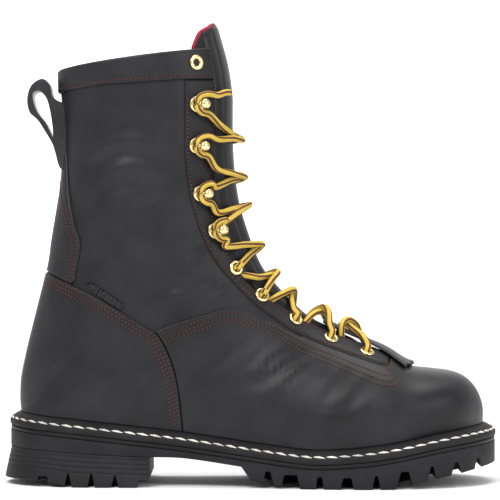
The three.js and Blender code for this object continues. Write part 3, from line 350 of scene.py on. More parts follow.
def polySpline(points, steps):
    p = np.array(points, float)
    ext = np.vstack([p[0], p, p[-1]])
    out = []
    for k in range(len(p) - 1):
        p0, p1, p2, p3 = ext[k : k + 4]
        m1, m2 = (p2 - p0) / 2, (p3 - p1) / 2
        for s in range(steps):
            out.append(hermite(p1, p2, m1, m2, s / steps))
    out.append(p[-1])
    return np.array(out)


def sideMm(points):
    p = np.array(points, float)
    return np.stack([fromX(p[:, 0]), p[:, 1] * shaftHeight], 1)


# Signed distance in side view to a closed outline, positive inside.
def insideBy(points, outline):
    a = outline
    b = np.roll(outline, -1, axis=0)
    best = np.full(len(points), 1e9)
    inside = np.zeros(len(points), bool)
    for p, q in zip(a, b):
        d = q - p
        t = np.clip(((points - p) @ d) / max(d @ d, 1e-12), 0, 1)
        best = np.minimum(best, np.linalg.norm(points - (p + t[:, None] * d), axis=1))
        cross = (p[1] > points[:, 1]) != (q[1] > points[:, 1])
        if abs(q[1] - p[1]) > 1e-12:
            at = (q[0] - p[0]) * (points[:, 1] - p[1]) / (q[1] - p[1]) + p[0]
            inside ^= cross & (points[:, 0] < at)
    return np.where(inside, best, -best)


# Cuts triangles along the line where a value given at their corners is level. keep drops the part
# below it.
def cutAlong(spots, tris, values, level, keep):
    v = values - level
    v = np.where(np.abs(v) < 0.03, 0.0, v)
    s = np.sign(v)[tris]
    whole = ~((s.max(1) > 0) & (s.min(1) < 0))
    below = whole & (s.max(1) <= 0)
    kept = [tris[whole & ~below]] if keep else [tris[whole]]
    newSpots = []
    made = {}
    count = len(spots)

    def edgeSpot(i, j):
        key = (i, j) if i < j else (j, i)
        if key not in made:
            f = v[key[0]] / (v[key[0]] - v[key[1]])
            newSpots.append(spots[key[0]] * (1 - f) + spots[key[1]] * f)
            made[key] = count + len(newSpots) - 1
        return made[key]

    extra = []
    for tri in tris[~whole]:
        loops = {1: [], -1: []}
        for k in range(3):
            i, j = int(tri[k]), int(tri[(k + 1) % 3])
            si, sj = np.sign(v[i]), np.sign(v[j])
            if si == 0:
                loops[1].append(i)
                loops[-1].append(i)
            else:
                loops[int(si)].append(i)
            if si * sj < 0:
                m = edgeSpot(i, j)
                loops[1].append(m)
                loops[-1].append(m)
        for sign, loop in loops.items():
            if sign < 0 and keep:
                continue
            for k in range(1, len(loop) - 1):
                extra.append((loop[0], loop[k], loop[k + 1]))
    if extra:
        kept.append(np.array(extra))
    allSpots = np.vstack([spots, np.array(newSpots)]) if newSpots else spots
    return allSpots, np.vstack(kept)


def compact(spots, tris):
    used, index = np.unique(tris, return_inverse=True)
    return spots[used], index.reshape(tris.shape)


# Main creases, placed on the photograph: side view points, depth and half width.
creaseRows = [
    ([(53, 192), (64, 199), (78, 203.5), (97, 199.5)], 1.7, 4.2),
    ([(58, 176), (72, 184), (90, 186), (104, 182)], 1.0, 4.5),
    ([(101, 121), (110, 123), (119, 122.5), (127, 125)], 1.9, 2.8),
    ([(114, 140.5), (120, 142.5), (126, 143.5)], 1.1, 2.2),
    ([(131, 116.5), (136, 120), (142, 121.5)], 1.2, 2),
    ([(144, 121.5), (150, 125), (157, 126.5)], 0.9, 1.7),
    ([(150, 120), (154, 122.5), (159, 124)], 0.5, 1.6),
    ([(136, 115), (141, 117.5), (147, 118)], 0.6, 1.8),
    ([(160, 71), (168, 79), (180, 85)], 1.1, 2.4),
    ([(166, 66), (174, 74), (184, 80)], 0.7, 2),
    ([(154, 73), (161, 82), (171, 88)], 0.6, 2),
    ([(174, 62), (183, 70), (194, 75)], 0.6, 2.2),
    ([(150, 62), (162, 66), (176, 76), (190, 80)], 0.7, 4),
    ([(196, 52), (205, 62), (216, 71)], 0.5, 3),
    ([(209, 47), (219, 57), (229, 66)], 0.4, 3),
    ([(122, 70), (134, 76), (146, 88)], 0.5, 4),
    ([(62, 150), (78, 156), (96, 152)], 0.7, 6),
    ([(70, 215), (84, 221), (100, 217)], 0.6, 7),
]
creases = [(polySpline(points, 6), depth, width) for points, depth, width in creaseRows]


# Depth of the creases at side view points: soft troughs with a ridge along each shoulder, fading
# out to their ends.
def creaseLift(xz):
    lift = np.zeros(len(xz))
    for line, depth, width in creases:
        best = np.full(len(xz), 1e9)
        share = np.zeros(len(xz))
        n = len(line) - 1
        for k in range(n):
            p, d = line[k], line[k + 1] - line[k]
            t = np.clip(((xz - p) @ d) / (d @ d), 0, 1)
            dist = np.linalg.norm(xz - (p + t[:, None] * d), axis=1)
            near = dist < best
            best = np.where(near, dist, best)
            share = np.where(near, (k + t) / n, share)
        fade = np.clip(np.sin(np.pi * np.clip(share, 0.02, 0.98)), 0, 1) ** 0.6
        w = best / width
        lift += depth * fade * (-np.exp(-w * w) + 0.55 * np.exp(-((w - 1.9) ** 2) / 0.7))
    return lift


# Slow unevenness of the leather, from a few long waves. Each row: radians for each millimetre
# along and up, phase, size.
waveRows = [
    (0.031, 0.012, 0.4, 0.22),
    (0.017, 0.043, 1.7, 0.2),
    (0.06, 0.035, 2.6, 0.11),
    (0.025, 0.071, 4.1, 0.12),
]


def waveLift(xz, y):
    lift = np.zeros(len(xz))
    for kx, kz, phase, size in waveRows:
        lift += size * np.sin(kx * xz[:, 0] + kz * xz[:, 1] + phase + 0.02 * y)
    return lift


def skinLift(points):
    xz = points[:, [0, 2]]
    fade = smoothstep(points[:, 2] - featherZ(points[:, 0]), 0, 8) * smoothstep(278 - points[:, 2], 0, 10)
    return (creaseLift(xz) + waveLift(xz, points[:, 1])) * fade


gridAt = np.concatenate([np.linspace(0, 2, 21)[:-1], np.arange(2, collarAt + 0.01, 1 / 6)])
gridU = np.linspace(-1, 1, 2 * halfColumns + 1)
atMesh, uMesh = np.meshgrid(gridAt, gridU, indexing="ij")
sheetSpots = np.stack([atMesh.ravel(), uMesh.ravel()], 1)
quads = gridFaces(len(gridAt), len(gridU))
sheetTris = np.vstack([quads[:, [0, 1, 2]], quads[:, [0, 2, 3]]])


def onForm(spots, offset):
    p, n = formAt(spots[:, 0], spots[:, 1])
    q = p + n * np.asarray(offset, float).reshape(-1, 1)
    base = (np.abs(spots[:, 1]) > 0.999) & (spots[:, 0] < lastHeelSection)
    q[:, 2] = np.where(base, featherZ(q[:, 0]), q[:, 2])
    return q


def throatBy(spots):
    p, _ = formAt(spots[:, 0], spots[:, 1])
    reach = np.abs(p[:, 1] - ballWidth * along(section["mid"], spots[:, 0]))
    reach = np.where(np.abs(spots[:, 1]) < 0.5, reach, 90)
    past = (throatAt - 0.03 - spots[:, 0]) * 9
    return np.where(spots[:, 0] > throatAt - 0.03, reach - throatHalf(spots[:, 0]), reach + past)


# A panel over the form: fields give how far inside it a spot lies, in millimetres. Its edge rolls
# down to the leather under it over roundEdge.
def makePanel(name, fields, roundEdge):
    spots, tris = sheetSpots, sheetTris

    def depth(s):
        p, _ = formAt(s[:, 0], s[:, 1])
        values = np.full(len(s), 1e6)
        for field in fields:
            values = np.minimum(values, field(s, p))
        return values

    near = depth(spots)
    tris = tris[(near[tris].max(1) > -1)]
    spots, tris = compact(spots, tris)
    spots, tris = cutAlong(spots, tris, depth(spots), 0, True)
    for share in (0.1, 0.35, 0.7, 1.05):
        spots, tris = cutAlong(spots, tris, depth(spots), share * roundEdge, False)
    spots, tris = compact(spots, tris)
    d = np.clip(depth(spots), 0, None)
    t = np.clip(1 - d / roundEdge, 0, 1)
    rise = np.sqrt(1 - t * t)
    offset = skinUpper * (1 - rise)
    q = onForm(spots, offset)
    _, n = formAt(spots[:, 0], spots[:, 1])
    q = q + n * (skinLift(q) * (0.4 + 0.6 * rise))[:, None]
    base = (np.abs(spots[:, 1]) > 0.999) & (spots[:, 0] < lastHeelSection)
    q[:, 2] = np.where(base, featherZ(q[:, 0]), q[:, 2])
    return makeMesh(name, q, tris, weld=0.02)


def inOutline(outline):
    return lambda s, p: insideBy(p[:, [0, 2]], outline)


def clearOf(outline):
    return lambda s, p: -insideBy(p[:, [0, 2]], outline) - panelGap


def clearOfThroat(s, p):
    return throatBy(s)


def onSide(sign):
    return lambda s, p: sign * s[:, 1] * sideLength(s[:, 0], s[:, 1])


def belowCollar(s, p):
    return (collarAt - s[:, 0]) * 9


vampTop = [
    (0.28, 0.343), (0.327, 0.366), (0.397, 0.389), (0.453, 0.403), (0.501, 0.39), (0.536, 0.372),
    (0.571, 0.353), (0.604, 0.337),
]
counterEdge = [
    (-0.03, 0.525), (0.06, 0.483), (0.17, 0.427), (0.264, 0.369), (0.305, 0.335), (0.334, 0.264),
    (0.347, 0.185), (0.355, 0.08),
]
eyestayEdge = [
    (0.359, 0.95),
    (0.359, 0.846),
    (0.361, 0.73),
    (0.376, 0.631),
    (0.409, 0.534),
    (0.455, 0.467),
    (0.529, 0.394),
    (0.62, 0.334),
    (0.732, 0.289),
    (0.782, 0.273),
    (0.792, 0.281),
    (0.795, 0.3),
]
cuffEdge = [(0.46, 0.924), (0.36, 0.919), (0.254, 0.911), (0.17, 0.906), (0.02, 0.887)]
stayEdge = [
    (0.086, 0.84), (0.09, 0.79), (0.096, 0.743), (0.103, 0.67), (0.119, 0.596), (0.133, 0.55),
    (0.126, 0.491), (0.117, 0.435),
]
counterLine = polySpline(sideMm(counterEdge), 8)
cuffLine = polySpline(sideMm(cuffEdge), 8)
eyestayLine = polySpline(sideMm(eyestayEdge), 8)
stayLine = polySpline(sideMm(stayEdge), 8)
vampLine = polySpline(sideMm(vampTop), 8)
counterOutline = np.vstack([counterLine, sideMm([(0.355, -0.1), (-0.2, -0.1), (-0.2, 0.6)])])
cuffOutline = np.vstack([cuffLine, sideMm([(-0.2, 0.87), (-0.2, 1.3), (0.6, 1.3)])])
eyestayOutline = np.vstack([eyestayLine, sideMm([(0.81, 0.5), (0.7, 0.96)])])
stayOutline = np.vstack([stayLine, sideMm([(-0.2, 0.42), (-0.2, 0.84)])])
vampOutline = np.vstack([vampLine, sideMm([(0.7, 0.45), (1.3, 0.45), (1.3, -0.1), (0.28, -0.1)])])
tabOutline = sideMm([(0.15, 0.468), (0.23, 0.413), (0.226, 0.393), (0.148, 0.446)])
panelGap = 0.12  # between the edges of two panels
edgeRounds = {"eyestay_lateral": 2.2, "eyestay_medial": 2.2, "other": 1.1}
shapes = {
    "vamp": [inOutline(vampOutline), clearOf(eyestayOutline), clearOf(counterOutline), clearOfThroat],
    "heel_counter": [inOutline(counterOutline)],
    "cuff": [inOutline(cuffOutline), clearOfThroat, belowCollar],
    "eyestay_lateral": [inOutline(eyestayOutline), clearOf(cuffOutline), clearOfThroat, onSide(-1)],
    "eyestay_medial": [inOutline(eyestayOutline), clearOf(cuffOutline), clearOfThroat, onSide(1)],
    "back_stay": [inOutline(stayOutline), clearOf(counterOutline), clearOf(cuffOutline)],
    "side_tab": [inOutline(tabOutline), onSide(-1)],
}
panels = {}
for name, fields in shapes.items():
    panels[name] = makePanel(name + "_skin", fields, edgeRounds.get(name, edgeRounds["other"]))
    print("panel", name, len(panels[name].data.polygons))

# Upper: an outer and an inner face joined along the collar, the throat and the base.
def makeUpper():
    spots, tris = sheetSpots, sheetTris
    spots, tris = cutAlong(spots, tris, throatBy(spots), 0, True)
    spots, tris = compact(spots, tris)
    outer = onForm(spots, np.full(len(spots), skinUpper))
    _, n = formAt(spots[:, 0], spots[:, 1])
    lift = skinLift(outer)
    outer = outer + n * lift[:, None]
    base = (np.abs(spots[:, 1]) > 0.999) & (spots[:, 0] < lastHeelSection)
    outer[:, 2] = np.where(base, featherZ(outer[:, 0]), outer[:, 2])
    inner = onForm(spots, np.full(len(spots), skinInner)) + n * (0.5 * lift)[:, None]
    inner[:, 2] = np.where(base, featherZ(inner[:, 0]), inner[:, 2])
    edges = {}
    for a, b, c in tris:
        for e in ((a, b), (b, c), (c, a)):
            key = (min(e), max(e))
            edges[key] = None if key in edges else e
    count = len(spots)
    faces = [tuple(t) for t in tris]
    marks = [0] * len(faces)
    faces += [(count + c, count + b, count + a) for a, b, c in tris]
    marks += [1] * len(tris)
    for e in edges.values():
        if e is None:
            continue
        a, b = e
        seam = np.linalg.norm(outer[a] - outer[b]) < 1e-6
        back = abs(abs(spots[a][1]) - 1) < 1e-6 and abs(abs(spots[b][1]) - 1) < 1e-6
        pastHeel = spots[a][0] > lastHeelSection and spots[b][0] > lastHeelSection
        if seam or (back and pastHeel):
            continue
        if spots[a][0] < 1e-6 and spots[b][0] < 1e-6:
            continue
        faces.append((b, a, count + a, count + b))
        marks.append(0)
    return makeMesh("upper_skin", np.vstack([outer, inner]), faces, weld=0.02, marks=marks)


upper = makeUpper()
print("upper", len(upper.data.polygons))


# A closed sheet with a face and a back: spot gives points for arrays of share along, share across
# and depth.
def makeSheet(name, alongCount, acrossCount, spot):
    alongSteps = np.linspace(0, 1, alongCount + 1)
    t, s = np.meshgrid(alongSteps, np.linspace(-1, 1, acrossCount + 1), indexing="ij")
    layers = [spot(t.ravel(), s.ravel(), np.full(t.size, deep)) for deep in (0.0, 1.0)]
    n = t.size
    rows, cols = alongCount + 1, acrossCount + 1
    faces = [tuple(f) for f in gridFaces(rows, cols, 0, True)]
    marks = [0] * len(faces)
    back = [tuple(f) for f in gridFaces(rows, cols, n, False)]
    faces += back
    marks += [1] * len(back)
    rim = list(range(cols)) + [i * cols + cols - 1 for i in range(1, rows)]
    rim += [(rows - 1) * cols + j for j in range(cols - 2, -1, -1)]
    rim += [i * cols for i in range(rows - 2, 0, -1)]
    for k in range(len(rim)):
        a, b = rim[k], rim[(k + 1) % len(rim)]
        faces.append((a, a + n, b + n, b))
        marks.append(1)
    return makeMesh(name, np.vstack(layers), faces, marks=marks)


tongueRow = dict(start=7, side=11, thick=4.2, tip=1.72, proud=-1, under=skinInner - 1.6)


def tongueSpot(t, s, deep):
    top = collarAt + 0.2 + (tongueRow["tip"] - 0.2) * (1 - np.abs(s) ** 2.6)
    at = tongueRow["start"] + (top - tongueRow["start"]) * t
    capped = np.minimum(at, collarAt)
    half = throatHalf(capped) + tongueRow["side"] * np.clip((at - tongueRow["start"] + 2.4) / 3, 0, 1)
    reach = s * half
    clear = throatHalf(capped) - 1 - np.abs(reach)
    inGap = smoothstep(clear, 0, 6) * np.clip((at - throatAt - 0.6) / 1.2, 0, 1)
    thick = tongueRow["thick"] * (1 - 0.45 * np.abs(s) ** 3)
    face = tongueRow["under"] + (tongueRow["proud"] - tongueRow["under"]) * inGap
    roll = 0.9 * (1 - 2 * deep) * (smoothstep(np.abs(s), 0.93, 1) + smoothstep(t, 0.985, 1))
    return formReach(at, reach, face - deep * thick - np.clip(roll, -1.5, 1.5))


tongue = makeSheet("tongue_skin", 150, 40, tongueSpot)

kiltieRow = dict(start=6.75, end=10.4, thick=1.6, lift=1.3, half=0.27, waist=0.36)


def kiltieSpot(t, s, deep):
    teeth = 5
    saw = np.abs(((s * teeth + teeth) % 2) - 1)
    tooth = (1 - saw) * 0.2 * np.exp(-t * 22)
    at = kiltieRow["start"] + (kiltieRow["end"] - kiltieRow["start"]) * t + tooth + 0.45 * s * s * (1 - t)
    half = ballWidth * kiltieRow["half"] * (1 - (1 - kiltieRow["waist"]) * np.clip(t * 2, 0, 1))
    edge = 0.35 * (1 - 2 * deep) * smoothstep(np.abs(s), 0.9, 1)
    curl = 0.3 * (1 - t) ** 3 + 0.35 * np.sin(s * 3.1 + 0.5) * (1 - t) ** 2
    return formReach(at, s * half, kiltieRow["lift"] + curl + (1 - deep) * kiltieRow["thick"] - edge)


kiltie = makeSheet("kiltie_skin", 60, 80, kiltieSpot)
print("tongue and kiltie")


# Plates and rings of the sole: loops of the feather line moved out by reach, at the given level.
def soleLoop(reach, level, steps):
    i = np.arange(2 * steps)
    turn = np.where(i < steps, i / steps, 2 - i / steps)
    x = heelBack + featherLength * (1 - np.cos(np.pi * turn)) / 2
    y = np.where(i < steps, -featherHalf(x, "lateral"), featherHalf(x, "medial"))
    p = np.stack([x, y], 1)
    tangent = np.roll(p, -1, axis=0) - np.roll(p, 1, axis=0)
    tangent /= np.linalg.norm(tangent, axis=1, keepdims=True)
    out = p + np.stack([tangent[:, 1], -tangent[:, 0]], 1) * np.asarray(reach(x)).reshape(-1, 1)
    z = level(np.clip(out[:, 0], fromX(-0.0329), fromX(1.03)))
    return np.stack([out[:, 0], out[:, 1], z], 1)


def stackLoops(name, loops, ring=False, smooth=True):
    n = len(loops[0])
    faces = []
    last = len(loops) if ring else len(loops) - 1
    for k in range(last):
        a, b = k * n, ((k + 1) % len(loops)) * n
        for i in range(n):
            j = (i + 1) % n
            faces.append((a + i, b + i, b + j, a + j))
    if not ring:
        h = n // 2
        e = (len(loops) - 1) * n
        for i in range(h):
            m, m1 = (n - i) % n, n - i - 1
            if m == i:
                faces.append((i, i + 1, m1))
                faces.append((e + i, e + m1, e + i + 1))
            elif i + 1 == m1:
                faces.append((i, i + 1, m))
                faces.append((e + i, e + m, e + i + 1))
            else:
                faces.append((i, i + 1, m1, m))
                faces.append((e + i, e + m, e + m1, e + i + 1))
    return makeMesh(name, np.vstack(loops), faces, smooth=smooth)


# A stack whose rows are a reach from the feather line and a depth under it.
def featherStack(name, rows, steps, ring=False):
    def level(depth):
        return lambda x: featherZ(x) - depth

    return stackLoops(name, [soleLoop(reach, level(depth), steps) for reach, depth in rows], ring=ring)


soleSteps = 110
weltOut = lambda x: weltReach + weltReachToe * np.clip(shareX(x), 0, 1)
still = lambda value: (lambda x: np.full(np.shape(x), float(value)))
weltRows = [
    (still(-9), 0.5),
    (still(0.4), 0.5),
    (lambda x: weltOut(x) * 0.35, 1.7),
    (lambda x: weltOut(x) * 0.72, 3.6),
    (lambda x: weltOut(x) - 0.5, 5.0),
    (weltOut, 5.9),
    (lambda x: weltOut(x) + 0.1, 7.4),
    (lambda x: weltOut(x) - 0.2, 8.7),
    (lambda x: weltOut(x) - 0.8, 9.0),
    (still(-9), 9.0),
]
welt = featherStack("welt_skin", weltRows, soleSteps, ring=True)
midRows = [
    (still(-9.3), 0.3),
    (still(-9.3), 9.3),
    (lambda x: weltOut(x) - 0.9, 9.3),
    (lambda x: weltOut(x) - 0.6, 9.6),
    (lambda x: weltOut(x) - 0.6, 11.4),
    (lambda x: weltOut(x) - 0.9, 11.7),
]
midsole = featherStack("midsole_skin", midRows, soleSteps)
insoleEdge = skinInner - 2.6
insoleRows = [(still(insoleEdge - 0.8), -3.5), (still(insoleEdge), -2.5), (still(insoleEdge), -0.1)]
insole = featherStack("insole_skin", insoleRows, 70)
print("welt, midsole and insole")


def cutterMesh(outlines):
    bm = bmesh.new()
    for outline, y0, y1 in outlines:
        lower = [bm.verts.new(toWorld([(x, y0, z)])[0]) for x, z in outline]
        upperRow = [bm.verts.new(toWorld([(x, y1, z)])[0]) for x, z in outline]
        n = len(outline)
        bm.faces.new(lower)
        bm.faces.new(upperRow[::-1])
        for i in range(n):
            j = (i + 1) % n
            bm.faces.new((lower[j], lower[i], upperRow[i], upperRow[j]))
    bmesh.ops.recalc_face_normals(bm, faces=bm.faces)
    mesh = bpy.data.meshes.new("cutter")
    bm.to_mesh(mesh)
    bm.free()
    obj = bpy.data.objects.new("cutter", mesh)
    bpy.context.scene.collection.objects.link(obj)
    return obj


def applyAll(obj):
    deps = bpy.context.evaluated_depsgraph_get()
    mesh = bpy.data.meshes.new_from_object(obj.evaluated_get(deps))
    obj.modifiers.clear()
    obj.data = mesh
    return obj


def cutWith(obj, outlines, keep=False):
    cutter = cutterMesh(outlines)
    mod = obj.modifiers.new("cut", "BOOLEAN")
    mod.operation = "INTERSECT" if keep else "DIFFERENCE"
    mod.solver = "EXACT"
    mod.use_self = not keep
    mod.object = cutter
    applyAll(obj)
    bpy.data.objects.remove(cutter)
    return obj


def softEdges(obj, width, angle=38, segments=2):
    mod = obj.modifiers.new("edges", "BEVEL")
    mod.width = width * 0.001
    mod.segments = segments
    mod.limit_method = "ANGLE"
    mod.angle_limit = math.radians(angle)
    mod.use_clamp_overlap = True
    mod.harden_normals = False
    applyAll(obj)
    obj.data.polygons.foreach_set("use_smooth", [True] * len(obj.data.polygons))
    obj.data.set_sharp_from_angle(angle=math.radians(50))
    return obj


soleTop = lambda x: featherZ(x) - weltDepth - midsoleDepth - 0.3
outsoleEdge = lambda x: weltOut(x) - 0.4
shankEnd = 0.48
lower = lambda x: np.where(shareX(x) < shankEnd, underZ(x), groundZ(x))
outsoleLoops = [soleLoop(outsoleEdge, level, 80) for level in (soleTop, lower)]
outsole = stackLoops("outsole_skin", outsoleLoops, smooth=False)
# Notches between the lugs: x of the middle, width at the ground and at the top.
notchRows = [
    (0.5325, 0.0256, 0.0097),
    (0.58, 0.0429, 0.026),
    (0.6406, 0.0194, 0.0097),
    (0.6977, 0.0329, 0.0166),
    (0.7583, 0.0215, 0.0062),
    (0.8179, 0.0388, 0.0166),
    (0.8757, 0.0211, 0.0062),
    (0.929, 0.0267, 0.0076),
    (0.9775, 0.0194, 0.0042),
]
treadCut = dict(band=0.2, groove=5, past=2)  # middle row's half width, groove width, cutters' reach
band = ballWidth * treadCut["band"]
halfGroove = treadCut["groove"] / 2
cuts = []
for i, (share, low, high) in enumerate(notchRows):
    x = float(fromX(share))
    top, foot = float(underZ(x)), float(groundZ(x)) - treadCut["past"]
    a, b = high * featherLength / 2, low * featherLength / 2
    outline = [(x - a, top), (x + a, top), (x + b, foot), (x - b, foot)]
    if i < len(notchRows) - 1:
        cuts += [(outline, -90, -band), (outline, band, 90)]
    else:
        cuts.append((outline, -90, 90))
cutWith(outsole, cuts)
cuts = []
for i in range(0, len(notchRows) - 1, 2):
    x = float(fromX((notchRows[i][0] + notchRows[i + 1][0]) / 2))
    top = float(max(underZ(x), underZ(x + treadCut["groove"])))
    foot = float(groundZ(x)) - treadCut["past"]
    a, b = x - halfGroove, x + halfGroove
    cuts.append(([(a, top), (b, top), (b, foot), (a, foot)], -band, band))
cutWith(outsole, cuts)
for sign in (-1, 1):
    line = [(float(fromX(r[0])), float(underZ(fromX(r[0])))) for r in notchRows[1:]]
    line += [(float(fromX(notchRows[k][0])), -treadCut["past"]) for k in (-1, 1)]
    cutWith(outsole, [(line, sign * band - halfGroove, sign * band + halfGroove)])
softEdges(outsole, 0.5)
print("outsole", len(outsole.data.polygons))

heelPiece = dict(
    restEnd=0.257,  # front end of its flat rest
    flare=4,  # what it gains from its top to the ground
    ribs=4,
    ribFrom=0.08,  # where its ribs start, as a share of its height
    ribSpan=0.62,
    breast=0.282,  # its front face
    step=(7.3, 5.6, 4.8),  # how far the step lies back at its foot and head, and its height
    notchDeep=9,
    notches=[  # x of the middle, width at the ground and at the top, height
        (0.058, 0.03, 0.019, 6.5),
        (0.112, 0.02, 0.003, 8.5),
        (0.161, 0.02, 0.003, 8.5),
        (0.211, 0.02, 0.003, 7.5),
    ],
)
ribProfile = [(0, 0), (0.012, 0.25), (0.025, 0.38), (0.04, 0.3), (0.055, 0.05), (0.08, 0)]
heelTop = lambda x: underZ(x) - 0.3
restEnd = float(fromX(heelPiece["restEnd"]))


def heelLoop(share, deep=0.0):
    def level(x):
        ground = groundZ(np.minimum(x, restEnd))
        return heelTop(x) + (ground - heelTop(x)) * share

    return soleLoop(lambda x: outsoleEdge(x) + heelPiece["flare"] * (share - 0.1) - deep, level, 80)


heelShares = [(0.0, 0.0)]
for k in range(heelPiece["ribs"]):
    at = heelPiece["ribFrom"] + heelPiece["ribSpan"] * k / heelPiece["ribs"]
    heelShares += [(at + rise, deep) for rise, deep in ribProfile]
heelShares += [(0.9, 0), (1.0, 0)]
heel = stackLoops("heel_skin", [heelLoop(s, d) for s, d in heelShares], smooth=False)
breastX = float(fromX(heelPiece["breast"]))
stepFoot, stepHead, stepHigh = heelPiece["step"]
keepOutline = [
    (-20, -20),
    (breastX - stepFoot, -20),
    (breastX - stepFoot, 0),
    (breastX - stepHead, stepHigh),
    (breastX, stepHigh),
    (breastX, heelHeight),
    (-20, heelHeight),
]
cutWith(heel, [(keepOutline, -90, 90)], keep=True)
cuts = []
for share, low, high, tall in heelPiece["notches"]:
    x = float(fromX(share))
    a, b = high * featherLength / 2, low * featherLength / 2
    outline = [(x - a, tall), (x + a, tall), (x + b, -2), (x - b, -2)]
    for name in ("lateral", "medial"):
        edge = float(featherHalf(x, name) + weltOut(x)) - heelPiece["notchDeep"]
        cuts.append((outline, edge, 90) if name == "medial" else (outline, -90, -edge))
cutWith(heel, cuts)
softEdges(heel, 0.3, angle=45)
print("heel", len(heel.data.polygons))

# Pull loop.
loopOuter = [
    (0.1, 0.715), (0.085, 0.726), (0.072, 0.774), (0.053, 0.81), (0.038, 0.834), (0.022, 0.85),
    (0.016, 0.877), (0.021, 0.905), (0.033, 0.921), (0.05, 0.928), (0.064, 0.915), (0.072, 0.885),
    (0.1, 0.87),
]
loopHole = [
    (0.027, 0.891), (0.038, 0.901), (0.048, 0.896), (0.06, 0.877), (0.069, 0.831), (0.071, 0.793),
    (0.056, 0.826), (0.036, 0.855),
]


def closedSpline(points, steps):
    p = np.array(points, float)
    n = len(p)
    out = []
    for k in range(n):
        p0, p1, p2, p3 = p[k - 1], p[k], p[(k + 1) % n], p[(k + 2) % n]
        for s in range(steps):
            out.append(hermite(p1, p2, (p2 - p0) / 2, (p3 - p1) / 2, s / steps))
    return np.array(out)


loopPiece = dict(half=11, soft=0.7)  # half of its width, width of its softened edges
strapHalf = loopPiece["half"]
pullLoop = cutterMesh([(polySpline(sideMm(loopOuter), 5).tolist(), -strapHalf, strapHalf)])
pullLoop.name = "pull_loop_skin"
cutWith(pullLoop, [(closedSpline(sideMm(loopHole), 4).tolist(), -strapHalf - 1, strapHalf + 1)])
softEdges(pullLoop, loopPiece["soft"], angle=40, segments=3)
print("pull loop")

# Eyelets and hooks: section, reach from the ridge as a share of the ball's width, and the section
# at whose ridge the strands that rise from them cross.
laceRows = [
    ("eyelet_1", 8.7, 0.23, 9.6),
    ("eyelet_2", 10.07, 0.21, 10.6),
    ("eyelet_3", 11.57, 0.208, 12.1),
    ("eyelet_4", 13.43, 0.23, 13.4),
    ("eyelet_5", 15.38, 0.285, 15.3),
    ("hook_1", 18.9, 0.347, 18.9),
    ("hook_2", 22.4, 0.416, 21.8),
    ("hook_3", 25.2, 0.446, 24.3),
    ("hook_4", 27.6, 0.446, 27),
    ("cuff_eyelet", 30.1, 0.411, 30),
]
sides = {"lateral": -1, "medial": 1}


def fittingFrame(at, reach, level=False):
    here = formReach(at, reach)
    normal = formReach(at, reach, 1) - here
    normal /= np.linalg.norm(normal)
    ridgeward = formReach(at, reach - math.copysign(2, reach)) - here
    if level:
        ridgeward = np.array([normal[1], -normal[0], 0]) * math.copysign(1, reach)
    ridgeward -= normal * (ridgeward @ normal)
    ridgeward /= np.linalg.norm(ridgeward)
    return here, ridgeward, np.cross(normal, ridgeward), normal


def placed(place, points):
    here, a, b, n = place
    p = np.asarray(points, float)
    return here + p[:, :1] * a + p[:, 1:2] * b + p[:, 2:3] * n


def turned(name, profile, place, steps=32):
    points, faces = [], []
    for r, z, *shift in profile:
        for k in range(steps):
            turn = 2 * math.pi * k / steps
            points.append((r * math.cos(turn) + sum(shift), r * math.sin(turn), z))
    rows = len(profile)
    for i in range(rows - 1):
        for k in range(steps):
            m = (k + 1) % steps
            faces.append((i * steps + k, i * steps + m, (i + 1) * steps + m, (i + 1) * steps + k))
    return makeMesh(name, placed(place, points), faces, weld=0.002)


eyeletProfile = [
    (2.15, -4.6), (2.45, -4.6), (2.5, 0.25), (4.45, 0.28), (4.7, 0.5), (4.62, 0.85), (4.2, 1.2),
    (3.5, 1.38), (2.8, 1.25), (2.3, 0.8), (2.1, 0.2), (2.05, -1.5), (2.15, -4.6),
]
hookPiece = dict(
    tip=10.1,  # its height
    shift=1.7,  # how far its post stands off the middle of its plate
    neck=1.2,  # radius of the post
)
hookTip, hookShift = hookPiece["tip"], hookPiece["shift"]
hookProfile = [
    (0.001, 0.3),
    (4.8, 0.3),
    (5.0, 0.45),
    (5.0, 0.75),
    (4.7, 1.05),
    (3.0, 1.2, 0.5),
    (1.8, 1.45, 1.2),
    (1.3, 2.0, hookShift),
    (1.2, hookTip - 4.4, hookShift),
    (1.9, hookTip - 4.0, hookShift),
    (2.6, hookTip - 3.4, hookShift),
    (3.05, hookTip - 2.6, hookShift),
    (3.1, hookTip - 2.0, hookShift),
    (2.8, hookTip - 1.1, hookShift),
    (2.1, hookTip - 0.5, hookShift),
    (1.1, hookTip - 0.1, hookShift),
    (0.001, hookTip, hookShift),
]
fittings = {}
for where, sign in sides.items():
    for name, at, reach, _ in laceRows:
        isHook = name.startswith("hook")
        full = f"{name}_{where}"
        place = fittingFrame(at, sign * reach * ballWidth, isHook)
        fittings[full] = turned(full + "_metal", hookProfile if isHook else eyeletProfile, place)
print("fittings", len(fittings))

# The lace: a striped braided cord swept along smooth lines.
laceCord = dict(
    radius=2.0,
    twist=0.035,  # how far its stripes turn, in radians for each millimetre
    overTongue=1.3,  # height of a strand over the form at the ridge
    overKiltie=5.0,
    pile=3.5,  # what the upper one of two crossing strands rises
    overEdge=3.0,  # height over the facing's edge
)
laceRadius = laceCord["radius"]


